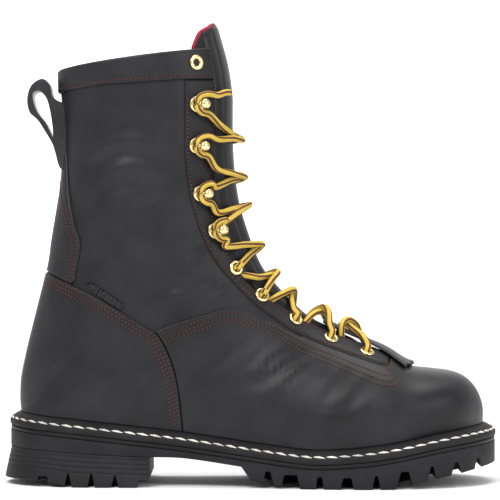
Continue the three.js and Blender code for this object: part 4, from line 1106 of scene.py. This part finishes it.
def throughPoints(points, step=0.8):
    p = np.array(points, float)
    ext = np.vstack([2 * p[0] - p[1], p, 2 * p[-1] - p[-2]])
    out = []
    for k in range(len(p) - 1):
        q = ext[k : k + 4]
        t = [0.0]
        for a, b in zip(q, q[1:]):
            t.append(t[-1] + max(np.linalg.norm(b - a), 1e-6) ** 0.5)
        n = max(2, int(np.linalg.norm(q[2] - q[1]) / step))
        for s in range(n):
            v = t[1] + (t[2] - t[1]) * s / n
            a1 = (t[1] - v) / (t[1] - t[0]) * q[0] + (v - t[0]) / (t[1] - t[0]) * q[1]
            a2 = (t[2] - v) / (t[2] - t[1]) * q[1] + (v - t[1]) / (t[2] - t[1]) * q[2]
            a3 = (t[3] - v) / (t[3] - t[2]) * q[2] + (v - t[2]) / (t[3] - t[2]) * q[3]
            b1 = (t[2] - v) / (t[2] - t[0]) * a1 + (v - t[0]) / (t[2] - t[0]) * a2
            b2 = (t[3] - v) / (t[3] - t[1]) * a2 + (v - t[1]) / (t[3] - t[1]) * a3
            out.append((t[2] - v) / (t[2] - t[1]) * b1 + (v - t[1]) / (t[2] - t[1]) * b2)
    out.append(p[-1])
    return np.array(out)


def sweep(name, line, radius, around=14, twist=0.0):
    n = len(line)
    tangent = np.gradient(line, axis=0)
    tangent /= np.linalg.norm(tangent, axis=1, keepdims=True)
    up = np.cross(tangent[0], [0, 0, 1.0])
    if np.linalg.norm(up) < 0.1:
        up = np.cross(tangent[0], [0, 1.0, 0])
    up /= np.linalg.norm(up)
    run = np.concatenate([[0], np.cumsum(np.linalg.norm(np.diff(line, axis=0), axis=1))])
    points, uv = [], []
    for k in range(n):
        up = up - tangent[k] * (up @ tangent[k])
        up /= np.linalg.norm(up)
        over = np.cross(tangent[k], up)
        r = radius * (0.35 if k in (0, n - 1) else 0.8 if k in (1, n - 2) else 1)
        for m in range(around + 1):
            turn = 2 * math.pi * m / around + twist * run[k]
            points.append(line[k] + r * (math.cos(turn) * up + math.sin(turn) * over))
            uv.append((m / around, run[k]))
    faces = [tuple(f) for f in gridFaces(n, around + 1)]
    faces.append(tuple(range(around, -1, -1))[:-1])
    last = (n - 1) * (around + 1)
    faces.append(tuple(range(last, last + around)))
    return makeMesh(name, points, faces, uv=uv)


wrap = hookPiece["neck"] + laceRadius + 0.6
overBase = 0.3 + 0.8 + 0.3 + laceRadius + 1


def roundHook(at, reach, where, up):
    place = fittingFrame(at, sides[where] * reach * ballWidth, True)
    flip = up if where == "lateral" else -up
    local = [(-1, 0.04), (-0.8, 0.82), (-0.05, 1.38), (1.05, 1.6)]
    return placed(place, [(hookShift + x * wrap, y * wrap * flip, overBase) for x, y in local])


def one(at, reach, height):
    return formReach(np.array([at]), np.array([reach]), np.array([height]))[0]


laces = {}
for k in range(len(laceRows) - 2):
    name, at, reach, cross = laceRows[k]
    nextName, nextAt, nextReach, _ = laceRows[k + 1]
    fromHook, toHook = name.startswith("hook"), nextName.startswith("hook")
    strands = []
    for where, sign in sides.items():
        other = "medial" if where == "lateral" else "lateral"
        high = laceCord["overTongue"] if k > 1 else laceCord["overKiltie"]
        high += laceCord["pile"] if sign * (-1) ** k > 0 else 0
        edge = float(edgeReach(at)[0])
        endEdge = float(edgeReach(nextAt)[0])
        points = []
        if fromHook:
            points += list(roundHook(at, reach, where, 1))
            rise = at + 0.25 - cross
            points.append(one(cross + 0.6 * rise, sign * edge * 1.03, laceCord["overEdge"]))
            points.append(one(cross + 0.25 * rise, sign * edge * 0.55, high * 0.6 + 0.8))
        else:
            here, a, b, n = fittingFrame(at, sign * reach * ballWidth)
            points += [here - n * 3.4 - a * 0.5, here + n * 0.6 + a * 0.2, here + n * 3.1 + a * 2.2]
            points.append(one(at + 0.3 * (cross - at), sign * edge * 1.05, 2.8 if k > 1 else 4.6))
            level = high * 0.7 + 0.6 if k > 1 else high
            points.append(one(at + 0.6 * (cross - at), sign * edge * 0.6, level))
        points.append(one(cross, 0, high))
        if toHook:
            rise = nextAt - 0.85 - cross
            points.append(one(cross + 0.25 * rise, -sign * endEdge * 0.55, high * 0.6 + 0.8))
            points.append(one(cross + 0.6 * rise, -sign * endEdge * 1.03, laceCord["overEdge"]))
            points += list(roundHook(nextAt, nextReach, other, -1)[::-1])
        else:
            points.append(one(cross + 0.35 * (nextAt - cross), -sign * endEdge * 0.6, high * 0.6 + 0.4))
            points.append(one(nextAt - 0.45, -sign * endEdge * 0.98, -2.6))
            points.append(one(nextAt - 0.3, -sign * (endEdge + 5), skinInner - 2.2))
        line = throughPoints(points)
        strands.append(sweep(f"lace_{k + 1}_{where}", line, laceRadius, twist=laceCord["twist"]))
    laces[f"lace_cross_{k + 1}"] = strands

laceEnds = {}
topAt, topReach = laceRows[-2][1:3]
for where, sign in sides.items():
    edge = sign * float(throatHalf(topAt))
    points = list(roundHook(topAt, topReach, where, 1))
    points.append(one(topAt + 0.12, edge * 1.3, overBase))
    points.append(one(topAt + 0.1, edge * 1.02, overBase - 0.2))
    points.append(one(topAt - 0.05, edge * 0.75, overBase - 1))
    line = throughPoints(points)
    tip = sweep(f"lace_tip_{where}", line, laceRadius, twist=laceCord["twist"])
    laceEnds[f"lace_end_{where}"] = (tip, line)
print("laces")

# Crimson binding along the tongue's free edge.
down = np.linspace(0.86, 1, 30)
across = np.linspace(-1, 1, 70)[1:-1]
t = np.concatenate([down, np.ones(68), down[::-1]])
s = np.concatenate([np.full(30, -1.0), across, np.full(30, 1.0)])
binding = sweep("tongue_binding", tongueSpot(t, s, np.full(len(t), 0.55)), 1.15, around=10)

# Stitches: short threads sunk into the leather, with a near-black disc at each end as painted shade in
# the needle hole.
outerPieces = [upper] + list(panels.values())
bm = bmesh.new()
for o in outerPieces:
    bm.from_mesh(o.data)
skinTree = BVHTree.FromBMesh(bm)
bm.free()


def castSide(xz, sign):
    out, normals = [], []
    for x, z in xz:
        start = Vector(toWorld([(x, 0, z)])[0])
        start.y = sign * 0.2
        hit, normal, _, _ = skinTree.ray_cast(start, Vector((0, -sign, 0)))
        if hit is None or hit.y * sign < -0.01:
            continue
        q = np.array(hit) * 1000
        q[0] += originX
        n = np.array(normal)
        if n[1] * sign < 0:
            n = -n
        out.append(q)
        normals.append(n)
    return np.array(out), np.array(normals)


def insetLine(line, inset):
    d = np.gradient(line, axis=0)
    d /= np.linalg.norm(d, axis=1, keepdims=True)
    return line + np.stack([-d[:, 1], d[:, 0]], 1) * inset


threadParts, holeShadeParts = [], []


seam = dict(pitch=2.45, radius=0.34, longShare=0.68)


def stitchesOn(points, normals):
    if len(points) < 3:
        return
    step = np.linalg.norm(np.diff(points, axis=0), axis=1)
    gaps = np.where(step > 6)[0]
    if len(gaps):
        first = gaps[0] + 1
        stitchesOn(points[:first], normals[:first])
        stitchesOn(points[first:], normals[first:])
        return
    pitch, radius, longShare = seam["pitch"], seam["radius"], seam["longShare"]
    run = np.concatenate([[0], np.cumsum(step)])
    count = int(run[-1] / pitch)
    for k in range(count):
        a, b = (k + 0.5 - longShare / 2) * pitch, (k + 0.5 + longShare / 2) * pitch
        p = np.array([np.interp(a, run, points[:, i]) for i in range(3)])
        q = np.array([np.interp(b, run, points[:, i]) for i in range(3)])
        n = np.array([np.interp((a + b) / 2, run, normals[:, i]) for i in range(3)])
        n /= np.linalg.norm(n)
        threadParts.append((p, q, n, radius))
        # Place of the disc that paints the shade inside the needle hole past the thread's end.
        hole = q + (q - p) / max(np.linalg.norm(q - p), 1e-6) * pitch * (1 - longShare) / 2
        holeShadeParts.append((hole, n, radius * 1.15))


def sideStitches(line, inset):
    dense = insetLine(line, inset)
    t = np.concatenate([[0], np.cumsum(np.linalg.norm(np.diff(dense, axis=0), axis=1))])
    want = np.arange(0, t[-1], 0.35)
    dense = np.stack([np.interp(want, t, dense[:, k]) for k in range(2)], 1)
    for sign in sides.values():
        points, normals = castSide(dense, sign)
        stitchesOn(points, normals)


def edgeStitches(fromAt, toAt, inset):
    at = np.arange(fromAt, toAt, 0.05)
    for sign in sides.values():
        reach = sign * (edgeReach(at) + inset)
        p = formReach(at, reach)
        n = formReach(at, reach, 1) - p
        stitchesOn(p + n * skinLift(p)[:, None], n)


for inset in (2.0, 4.2, 6.4):
    sideStitches(counterLine, -inset)
sideStitches(cuffLine, -2.2)
for inset in (1.9, 4.3):
    sideStitches(stayLine[4:], -inset)
sideStitches(eyestayLine[6:], 1.3)
vampRows = [
    [
        (97.2, 91.4), (107.5, 96), (117.3, 99.6), (127, 103), (135.5, 105.2), (141.6, 105.8),
        (146.4, 104.8), (156.1, 101), (166.5, 97.3), (186.5, 86.7), (206.9, 78.7), (227, 70.6),
        (233.9, 68.4), (238.2, 68.1), (241.2, 69.9),
    ],
    [
        (98.9, 89.4), (108.8, 93.6), (118.5, 97), (128.2, 100.3), (136.1, 102.1), (141.6, 102.4),
        (146.4, 101.5), (156.1, 98.4), (166.5, 94.8), (186.5, 83.7), (206.9, 75.2), (227, 67.1),
        (234.5, 64.8), (239.4, 65), (242.7, 67.5),
    ],
    [
        (99.8, 87.4), (110, 91.4), (119.7, 94.9), (128.8, 97.9), (136.1, 99.8), (141.6, 100.1),
        (146.4, 99.3), (156.1, 96.1), (166.5, 92.2), (186.5, 81.2), (206.9, 72.6), (227, 63.6),
        (235.1, 61.9), (240.1, 62), (243.6, 64.1), (245.6, 67.1),
    ],
]
for row in vampRows:
    sideStitches(polySpline(row, 6), 0)
# A bar tack at the facing's toe end.
for k in range(6):
    z = 71.4 + 0.62 * k
    points, normals = castSide([(235.6, z), (238.2, z + 0.2)], -1)
    threadParts.append((points[0], points[1], normals[0], 0.36))
edgeStitches(8.4, 29, 2.6)
edgeStitches(29.3, 30.8, 3.0)

blunt = ((0, 0.25, -0.25), (0.12, 0.8, 0.1), (0.5, 1, 0.32), (0.88, 0.8, 0.1), (1, 0.25, -0.25))
pointed = ((0, 0.05, -0.1), (0.2, 0.6, 0.1), (0.5, 1, 0.32), (0.8, 0.6, 0.1), (1, 0.05, -0.1))


def capsules(name, parts, around=6, shape=blunt):
    points, faces = [], []
    for p, q, n, r in parts:
        d = (q - p) / max(np.linalg.norm(q - p), 1e-9)
        s = np.cross(n, d)
        base = len(points)
        for t, w, h in shape:
            c = p + (q - p) * t + n * (h * r)
            for m in range(around):
                a = 2 * math.pi * m / around
                points.append(c + r * w * (math.cos(a) * s + math.sin(a) * n))
        for k in range(4):
            for m in range(around):
                j = (m + 1) % around
                low, high = base + k * around, base + (k + 1) * around
                faces.append((low + m, low + j, high + j, high + m))
    return makeMesh(name, points, faces)


def discs(name, parts, around=7):
    points, faces = [], []
    for c, n, r in parts:
        a = np.cross(n, [0.3, 0.2, 1.0])
        a /= np.linalg.norm(a)
        b = np.cross(n, a)
        base = len(points)
        for m in range(around):
            t = 2 * math.pi * m / around
            points.append(c + n * 0.06 + r * (math.cos(t) * a + math.sin(t) * b))
        faces.append(tuple(range(base, base + around)))
    return makeMesh(name, points, faces)


threads = capsules("seam_thread", threadParts)
# Near-black discs laid just over the leather: painted shade in the needle holes.
needleHoleShade = discs("needle_hole_shade", holeShadeParts)
print("stitches", len(threadParts))

# The welt's thread: long slanted stitches on its sloping top.
weltSeam = dict(pitch=7.8, start=0.15, end=7.6, radius=0.72)
weltParts = []
loopA = soleLoop(lambda x: weltOut(x) * 0.80, lambda x: featherZ(x) - 4.1, 220)
loopB = soleLoop(lambda x: weltOut(x) * 0.90, lambda x: featherZ(x) - 4.75, 220)
step = np.linalg.norm(np.diff(np.vstack([loopA, loopA[:1]]), axis=0), axis=1)
run = np.concatenate([[0], np.cumsum(step)])
ringA, ringB = np.vstack([loopA, loopA[:1]]), np.vstack([loopB, loopB[:1]])
weltCount = round(run[-1] / weltSeam["pitch"])
weltPitch = run[-1] / weltCount
for k in range(weltCount):
    a, b = k * weltPitch + weltSeam["start"], k * weltPitch + weltSeam["end"]
    p = np.array([np.interp(a, run, ringA[:, i]) for i in range(3)])
    q = np.array([np.interp(b, run, ringB[:, i]) for i in range(3)])
    out = np.array([np.interp((a + b) / 2, run, (ringB - ringA)[:, i]) for i in range(3)])
    d = (q - p) / np.linalg.norm(q - p)
    s = out - d * (out @ d)
    n = np.cross(d, s)
    n = n / np.linalg.norm(n)
    if n[2] < 0:
        n = -n
    weltParts.append((p, q, n, weltSeam["radius"]))
weltThread = capsules("welt_thread", weltParts, around=8, shape=pointed)
print("welt thread", len(weltParts))

# Materials.
def material(name, base, roughness, metallic=0.0, coat=0.0, coatRoughness=0.2, specular=0.22):
    mat = bpy.data.materials.new(name)
    mat.use_nodes = True
    tree = mat.node_tree
    shader = tree.nodes["Principled BSDF"]
    shader.inputs["Base Color"].default_value = (*base, 1)
    shader.inputs["Roughness"].default_value = roughness
    shader.inputs["Metallic"].default_value = metallic
    shader.inputs["Specular IOR Level"].default_value = specular
    shader.inputs["Coat Weight"].default_value = coat
    shader.inputs["Coat Roughness"].default_value = coatRoughness
    return mat, tree, shader


def newGroup(name, inputs, outputs):
    group = bpy.data.node_groups.new(name, "ShaderNodeTree")
    for label, kind, value in inputs:
        socket = group.interface.new_socket(label, in_out="INPUT", socket_type=kind)
        socket.default_value = value
    for label, kind in outputs:
        group.interface.new_socket(label, in_out="OUTPUT", socket_type=kind)
    return group, group.nodes.new("NodeGroupInput"), group.nodes.new("NodeGroupOutput")


def noiseNode(tree, scale, detail=3.0, rough=0.55, vector=None):
    node = tree.nodes.new("ShaderNodeTexNoise")
    node.inputs["Scale"].default_value = scale
    node.inputs["Detail"].default_value = detail
    node.inputs["Roughness"].default_value = rough
    if vector is not None:
        tree.links.new(vector, node.inputs["Vector"])
    return node


def mathNode(tree, operation, a, b=None, clampIt=False):
    node = tree.nodes.new("ShaderNodeMath")
    node.operation = operation
    node.use_clamp = clampIt
    for k, value in enumerate((a, b)):
        if value is None:
            continue
        if isinstance(value, (int, float)):
            node.inputs[k].default_value = value
        else:
            tree.links.new(value, node.inputs[k])
    return node.outputs[0]


def addBump(tree, shader, height, strength, distance):
    bumpNode = tree.nodes.new("ShaderNodeBump")
    bumpNode.inputs["Strength"].default_value = strength
    bumpNode.inputs["Distance"].default_value = distance
    tree.links.new(height, bumpNode.inputs["Height"])
    tree.links.new(bumpNode.outputs["Normal"], shader.inputs["Normal"])


def ramp(tree, value, low, high):
    node = tree.nodes.new("ShaderNodeMapRange")
    node.inputs["From Min"].default_value = low
    node.inputs["From Max"].default_value = high
    tree.links.new(value, node.inputs["Value"])
    return node.outputs["Result"]


def mixColor(tree, factor, a, b):
    node = tree.nodes.new("ShaderNodeMix")
    node.data_type = "RGBA"
    for index, value in ((0, factor), (6, a), (7, b)):
        if isinstance(value, (int, float)):
            node.inputs[index].default_value = value
        elif isinstance(value, tuple):
            node.inputs[index].default_value = (*value, 1)
        else:
            tree.links.new(value, node.inputs[index])
    return node.outputs[2]


def objectVector(tree):
    return tree.nodes.new("ShaderNodeTexCoord").outputs["Object"]


# Fine leather grain: soft cells with pores, and faint long wrinkles.
grainGroup, gIn, gOut = newGroup(
    "LeatherGrain",
    [
        ("Vector", "NodeSocketVector", (0, 0, 0)),
        ("Cells", "NodeSocketFloat", 900.0),
        ("Wrinkles", "NodeSocketFloat", 0.5),
    ],
    [("Height", "NodeSocketFloat"), ("Mottle", "NodeSocketFloat")],
)
cells = grainGroup.nodes.new("ShaderNodeTexVoronoi")
cells.feature = "SMOOTH_F1"
cells.inputs["Smoothness"].default_value = 0.7
grainGroup.links.new(gIn.outputs["Vector"], cells.inputs["Vector"])
grainGroup.links.new(gIn.outputs["Cells"], cells.inputs["Scale"])
fineNoise = noiseNode(grainGroup, 1600, 3, 0.6, gIn.outputs["Vector"])
softNoise = noiseNode(grainGroup, 38, 4, 0.55, gIn.outputs["Vector"])
stretch = grainGroup.nodes.new("ShaderNodeMapping")
stretch.inputs["Rotation"].default_value = (0, math.radians(38), 0)
stretch.inputs["Scale"].default_value = (240, 60, 34)
grainGroup.links.new(gIn.outputs["Vector"], stretch.inputs["Vector"])
lines = noiseNode(grainGroup, 1.0, 3, 0.5, stretch.outputs["Vector"])
wrinkle = mathNode(grainGroup, "MULTIPLY", lines.outputs["Fac"], gIn.outputs["Wrinkles"])
cellHeight = mathNode(grainGroup, "MULTIPLY", cells.outputs["Distance"], 0.55)
fineHeight = mathNode(grainGroup, "MULTIPLY", fineNoise.outputs["Fac"], 0.3)
height = mathNode(grainGroup, "ADD", cellHeight, fineHeight)
height = mathNode(grainGroup, "ADD", height, wrinkle)
grainGroup.links.new(height, gOut.inputs["Height"])
grainGroup.links.new(softNoise.outputs["Fac"], gOut.inputs["Mottle"])

# Scuffs: sparse pale streaks.
scuffGroup, sIn, sOut = newGroup(
    "Scuffs",
    [("Vector", "NodeSocketVector", (0, 0, 0)), ("Amount", "NodeSocketFloat", 0.5)],
    [("Mask", "NodeSocketFloat")],
)
scuffMap = scuffGroup.nodes.new("ShaderNodeMapping")
scuffMap.inputs["Rotation"].default_value = (0, math.radians(-28), 0)
scuffMap.inputs["Scale"].default_value = (26, 26, 190)
scuffGroup.links.new(sIn.outputs["Vector"], scuffMap.inputs["Vector"])
streak = noiseNode(scuffGroup, 1.0, 5, 0.62, scuffMap.outputs["Vector"])
patches = noiseNode(scuffGroup, 14, 2, 0.5, sIn.outputs["Vector"])
streakMask = ramp(scuffGroup, streak.outputs["Fac"], 0.58, 0.75)
patchMask = ramp(scuffGroup, patches.outputs["Fac"], 0.52, 0.7)
mask = mathNode(scuffGroup, "MULTIPLY", streakMask, patchMask)
scuffGroup.links.new(mathNode(scuffGroup, "MULTIPLY", mask, sIn.outputs["Amount"]), sOut.inputs["Mask"])


def leather(name, base, roughness, coat, wrinkles=0.6, bump=0.12, scuffs=0.6):
    mat, tree, shader = material(name, base, roughness, coat=coat, coatRoughness=0.35)
    vector = objectVector(tree)
    grain = tree.nodes.new("ShaderNodeGroup")
    grain.node_tree = grainGroup
    grain.inputs["Wrinkles"].default_value = wrinkles
    tree.links.new(vector, grain.inputs["Vector"])
    scuff = tree.nodes.new("ShaderNodeGroup")
    scuff.node_tree = scuffGroup
    scuff.inputs["Amount"].default_value = scuffs
    tree.links.new(vector, scuff.inputs["Vector"])
    light = tuple(v * 1.35 for v in base)
    dark = tuple(v * 0.72 for v in base)
    color = mixColor(tree, ramp(tree, grain.outputs["Mottle"], 0.35, 0.65), dark, light)
    color = mixColor(tree, scuff.outputs["Mask"], color, tuple(v * 2.6 for v in base))
    tree.links.new(color, shader.inputs["Base Color"])
    rough = mathNode(tree, "MULTIPLY", grain.outputs["Mottle"], 0.16)
    rough = mathNode(tree, "ADD", rough, roughness - 0.08)
    rough = mathNode(tree, "ADD", rough, mathNode(tree, "MULTIPLY", scuff.outputs["Mask"], 0.15), True)
    tree.links.new(rough, shader.inputs["Roughness"])
    addBump(tree, shader, grain.outputs["Height"], bump, 0.0006)
    return mat


def rubber(name, base, roughness, scale, bump, distance=0.0005):
    mat, tree, shader = material(name, base, roughness)
    vector = objectVector(tree)
    fine = noiseNode(tree, scale, 4, 0.65, vector)
    broad = noiseNode(tree, 60, 3, 0.5, vector)
    dark, light = (tuple(v * share for v in base) for share in (0.75, 1.3))
    color = mixColor(tree, ramp(tree, broad.outputs["Fac"], 0.35, 0.65), dark, light)
    tree.links.new(color, shader.inputs["Base Color"])
    addBump(tree, shader, fine.outputs["Fac"], bump, distance)
    return mat


black = leather("BlackLeather", (0.0115, 0.0112, 0.0128), 0.45, 0.05)
facing = leather("FacingLeather", (0.0105, 0.0102, 0.0115), 0.48, 0.03, wrinkles=0.5)
tongueLeather = leather("TongueLeather", (0.010, 0.0098, 0.011), 0.36, 0.16, wrinkles=0.7)
strap = leather("StrapLeather", (0.016, 0.0155, 0.017), 0.34, 0.2, wrinkles=0.2, scuffs=0.2)
lining = leather("Lining", (0.32, 0.012, 0.035), 0.8, 0.0, wrinkles=0.1, bump=0.2, scuffs=0)
innerLining = leather("InnerLining", (0.014, 0.014, 0.015), 0.85, 0.0, wrinkles=0.1, bump=0.2, scuffs=0)
tan = leather("InsoleLeather", (0.3, 0.19, 0.1), 0.7, 0.0, scuffs=0.2)
weltRubber = rubber("WeltRubber", (0.010, 0.0098, 0.0108), 0.62, 900, 0.6)
bandRubber = rubber("BandRubber", (0.005, 0.005, 0.0055), 0.45, 500, 0.15)
soleRubber = rubber("SoleRubber", (0.0105, 0.0105, 0.0118), 0.6, 1100, 0.25)
seamThread = rubber("SeamThread", (0.085, 0.028, 0.022), 0.75, 2500, 0.5, 0.0002)
# Colour of the needle hole discs: painted shade in the holes.
holeShade = material("NeedleHoleShade", (0.004, 0.004, 0.004), 0.9)[0]
whiteThread = rubber("WhiteThread", (0.62, 0.60, 0.55), 0.7, 2600, 0.7, 0.0003)

brass, tree, shader = material("Brass", (0.80, 0.66, 0.34), 0.22, metallic=1.0)
tarnish = noiseNode(tree, 420, 3, 0.5, objectVector(tree))
brassRough = mathNode(tree, "ADD", mathNode(tree, "MULTIPLY", tarnish.outputs["Fac"], 0.2), 0.1)
tree.links.new(brassRough, shader.inputs["Roughness"])

laceLook = dict(
    yellows=((0.50, 0.33, 0.03), (0.80, 0.58, 0.12)),
    stripe=(0.055, 0.012, 0.010),
    stripeCore=(0.16, 0.055, 0.06),
    stripes=3.0,  # stripes around the cord
    roughness=0.75,
    bump=0.6,
)
laceMat, tree, shader = material("LaceCord", (0.66, 0.4, 0.05), laceLook["roughness"])
uvNode = tree.nodes.new("ShaderNodeUVMap")
uvNode.uv_map = "UVMap"
split = tree.nodes.new("ShaderNodeSeparateXYZ")
tree.links.new(uvNode.outputs["UV"], split.inputs["Vector"])
around, length = split.outputs["X"], split.outputs["Y"]
turnPhase = mathNode(tree, "MULTIPLY", around, laceLook["stripes"])
stripe = mathNode(tree, "FRACT", turnPhase)
fromMiddle = mathNode(tree, "ABSOLUTE", mathNode(tree, "SUBTRACT", stripe, 0.5))
ticks = mathNode(tree, "MULTIPLY", mathNode(tree, "SINE", mathNode(tree, "MULTIPLY", length, 5.2)), 0.045)
darkMask = ramp(tree, mathNode(tree, "ADD", fromMiddle, ticks), 0.18, 0.145)
coreMask = ramp(tree, mathNode(tree, "ADD", fromMiddle, ticks), 0.07, 0.045)
threadNoise = noiseNode(tree, 900, 2, 0.5, objectVector(tree))
yellow = mixColor(tree, threadNoise.outputs["Fac"], *laceLook["yellows"])
color = mixColor(tree, darkMask, yellow, laceLook["stripe"])
color = mixColor(tree, coreMask, color, laceLook["stripeCore"])
tree.links.new(color, shader.inputs["Base Color"])
lengthPhase = mathNode(tree, "MULTIPLY", length, 5.2)
aroundPhase = mathNode(tree, "MULTIPLY", around, 18.85)
braidA = mathNode(tree, "SINE", mathNode(tree, "ADD", lengthPhase, aroundPhase))
braidB = mathNode(tree, "SINE", mathNode(tree, "SUBTRACT", lengthPhase, aroundPhase))
braid = mathNode(tree, "MULTIPLY", braidA, braidB)
addBump(tree, shader, braid, laceLook["bump"], 0.0005)


def give(obj, *mats):
    obj.data.materials.clear()
    for m in mats:
        obj.data.materials.append(m)
    return obj


def finishPiece(obj, slotName, *nodes):
    if nodes:
        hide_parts(*nodes)
    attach(obj, "root")
    return obj


give(upper, black, innerLining)
finishPiece(upper, "upper_leather", "upper")
for name, obj in panels.items():
    give(obj, facing if name.startswith("eyestay") else black)
    if name == "back_stay":
        continue
    finishPiece(obj, "upper_leather", name)
give(pullLoop, strap)
finishPiece(panels["back_stay"], "upper_leather", "back_stay")
finishPiece(pullLoop, "upper_leather")
finishPiece(give(tongue, tongueLeather, lining), "upper_leather", "tongue")
finishPiece(give(kiltie, facing, facing), "upper_leather", "kiltie")
finishPiece(give(insole, tan), "insole_leather", "insole")
finishPiece(give(welt, weltRubber), "welt_rubber", "welt")
finishPiece(give(midsole, bandRubber), "sole_rubber", "midsole")
finishPiece(give(outsole, soleRubber), "sole_rubber", "outsole")
finishPiece(give(heel, soleRubber), "sole_rubber", "heel")
for name, obj in fittings.items():
    finishPiece(give(obj, brass), "fitting_brass", name)
for name, pair in laces.items():
    for obj in pair:
        finishPiece(give(obj, laceMat), "lace_cord", name)
for name, (obj, line) in laceEnds.items():
    finishPiece(give(obj, laceMat), "lace_cord", name)
    path = toWorld(line).tolist()
    length = float(np.linalg.norm(np.diff(toWorld(line), axis=0), axis=1).sum())
    print(name, "length", round(length * 1000, 1))
finishPiece(give(binding, lining), "upper_leather")
finishPiece(give(threads, seamThread), "upper_leather")
finishPiece(give(needleHoleShade, holeShade), "upper_leather")
finishPiece(give(weltThread, whiteThread), "welt_rubber")
print("materials")

# Floor, light and camera, in metres and watts.
studio = dict(
    floor=(0.93, 0.93, 0.93),
    front=-4.0,
    bendFrom=5.0,  # where the floor starts to rise to the wall
    bend=1.5,  # radius of that curve
    wallTop=6.0,
    half=4,  # half of the floor's width
    world=0.7,
    lights={  # place, target, size, power
        "key": ((-0.5, -1.3, 1.5), (0.08, 0, 0.12), (1.2, 0.8), 26),
        "fill": ((1.5, -1.2, 0.8), (0.08, 0, 0.12), (1.0, 1.0), 10),
        "top": ((0.1, 0.3, 1.9), (0.08, 0, 0.1), (1.6, 1.0), 24),
        "back": ((0.1, 3.6, 2.4), (0.1, 6.0, 0.4), (3.0, 1.0), 130),
    },
    camera=(0.0881, -1.5, 0.1443),
    lens=172.8,
    sensor=36,
)
floorMat = material("PaleFloor", studio["floor"], 0.9)[0]
bendFrom, bend = studio["bendFrom"], studio["bend"]
profile = [(studio["front"], 0.0), (bendFrom, 0.0)]
for t in np.linspace(0, math.pi / 2, 24)[1:]:
    profile.append((bendFrom + bend * math.sin(t), bend - bend * math.cos(t)))
profile.append((bendFrom + bend, studio["wallTop"]))
verts, faces = [], []
for y, z in profile:
    verts += [(-studio["half"], y, z), (studio["half"], y, z)]
for k in range(len(profile) - 1):
    faces.append((2 * k, 2 * k + 1, 2 * k + 3, 2 * k + 2))
mesh = bpy.data.meshes.new("floor")
mesh.from_pydata(verts, [], faces)
floor = bpy.data.objects.new("floor", mesh)
bpy.context.scene.collection.objects.link(floor)
mesh.polygons.foreach_set("use_smooth", [True] * len(mesh.polygons))
give(floor, floorMat)

world = bpy.data.worlds.new("Studio")
world.use_nodes = True
world.node_tree.nodes["Background"].inputs["Color"].default_value = (1, 1, 1, 1)
world.node_tree.nodes["Background"].inputs["Strength"].default_value = studio["world"]
bpy.context.scene.world = world


def areaLight(name, place, target, size, power):
    data = bpy.data.lights.new(name, "AREA")
    data.shape = "RECTANGLE"
    data.size, data.size_y = size
    data.energy = power
    obj = bpy.data.objects.new(name, data)
    bpy.context.scene.collection.objects.link(obj)
    obj.location = place
    obj.rotation_euler = (Vector(target) - Vector(place)).to_track_quat("-Z", "Y").to_euler()


for name, values in studio["lights"].items():
    areaLight(name, *values)

cameraData = bpy.data.cameras.new("camera")
cameraData.sensor_width = studio["sensor"]
cameraData.lens = studio["lens"]
camera = bpy.data.objects.new("camera", cameraData)
camera.location = studio["camera"]
camera.rotation_euler = (math.radians(90), 0, 0)
bpy.context.scene.collection.objects.link(camera)
bpy.context.scene.camera = camera
bpy.context.scene.view_settings.view_transform = "Standard"
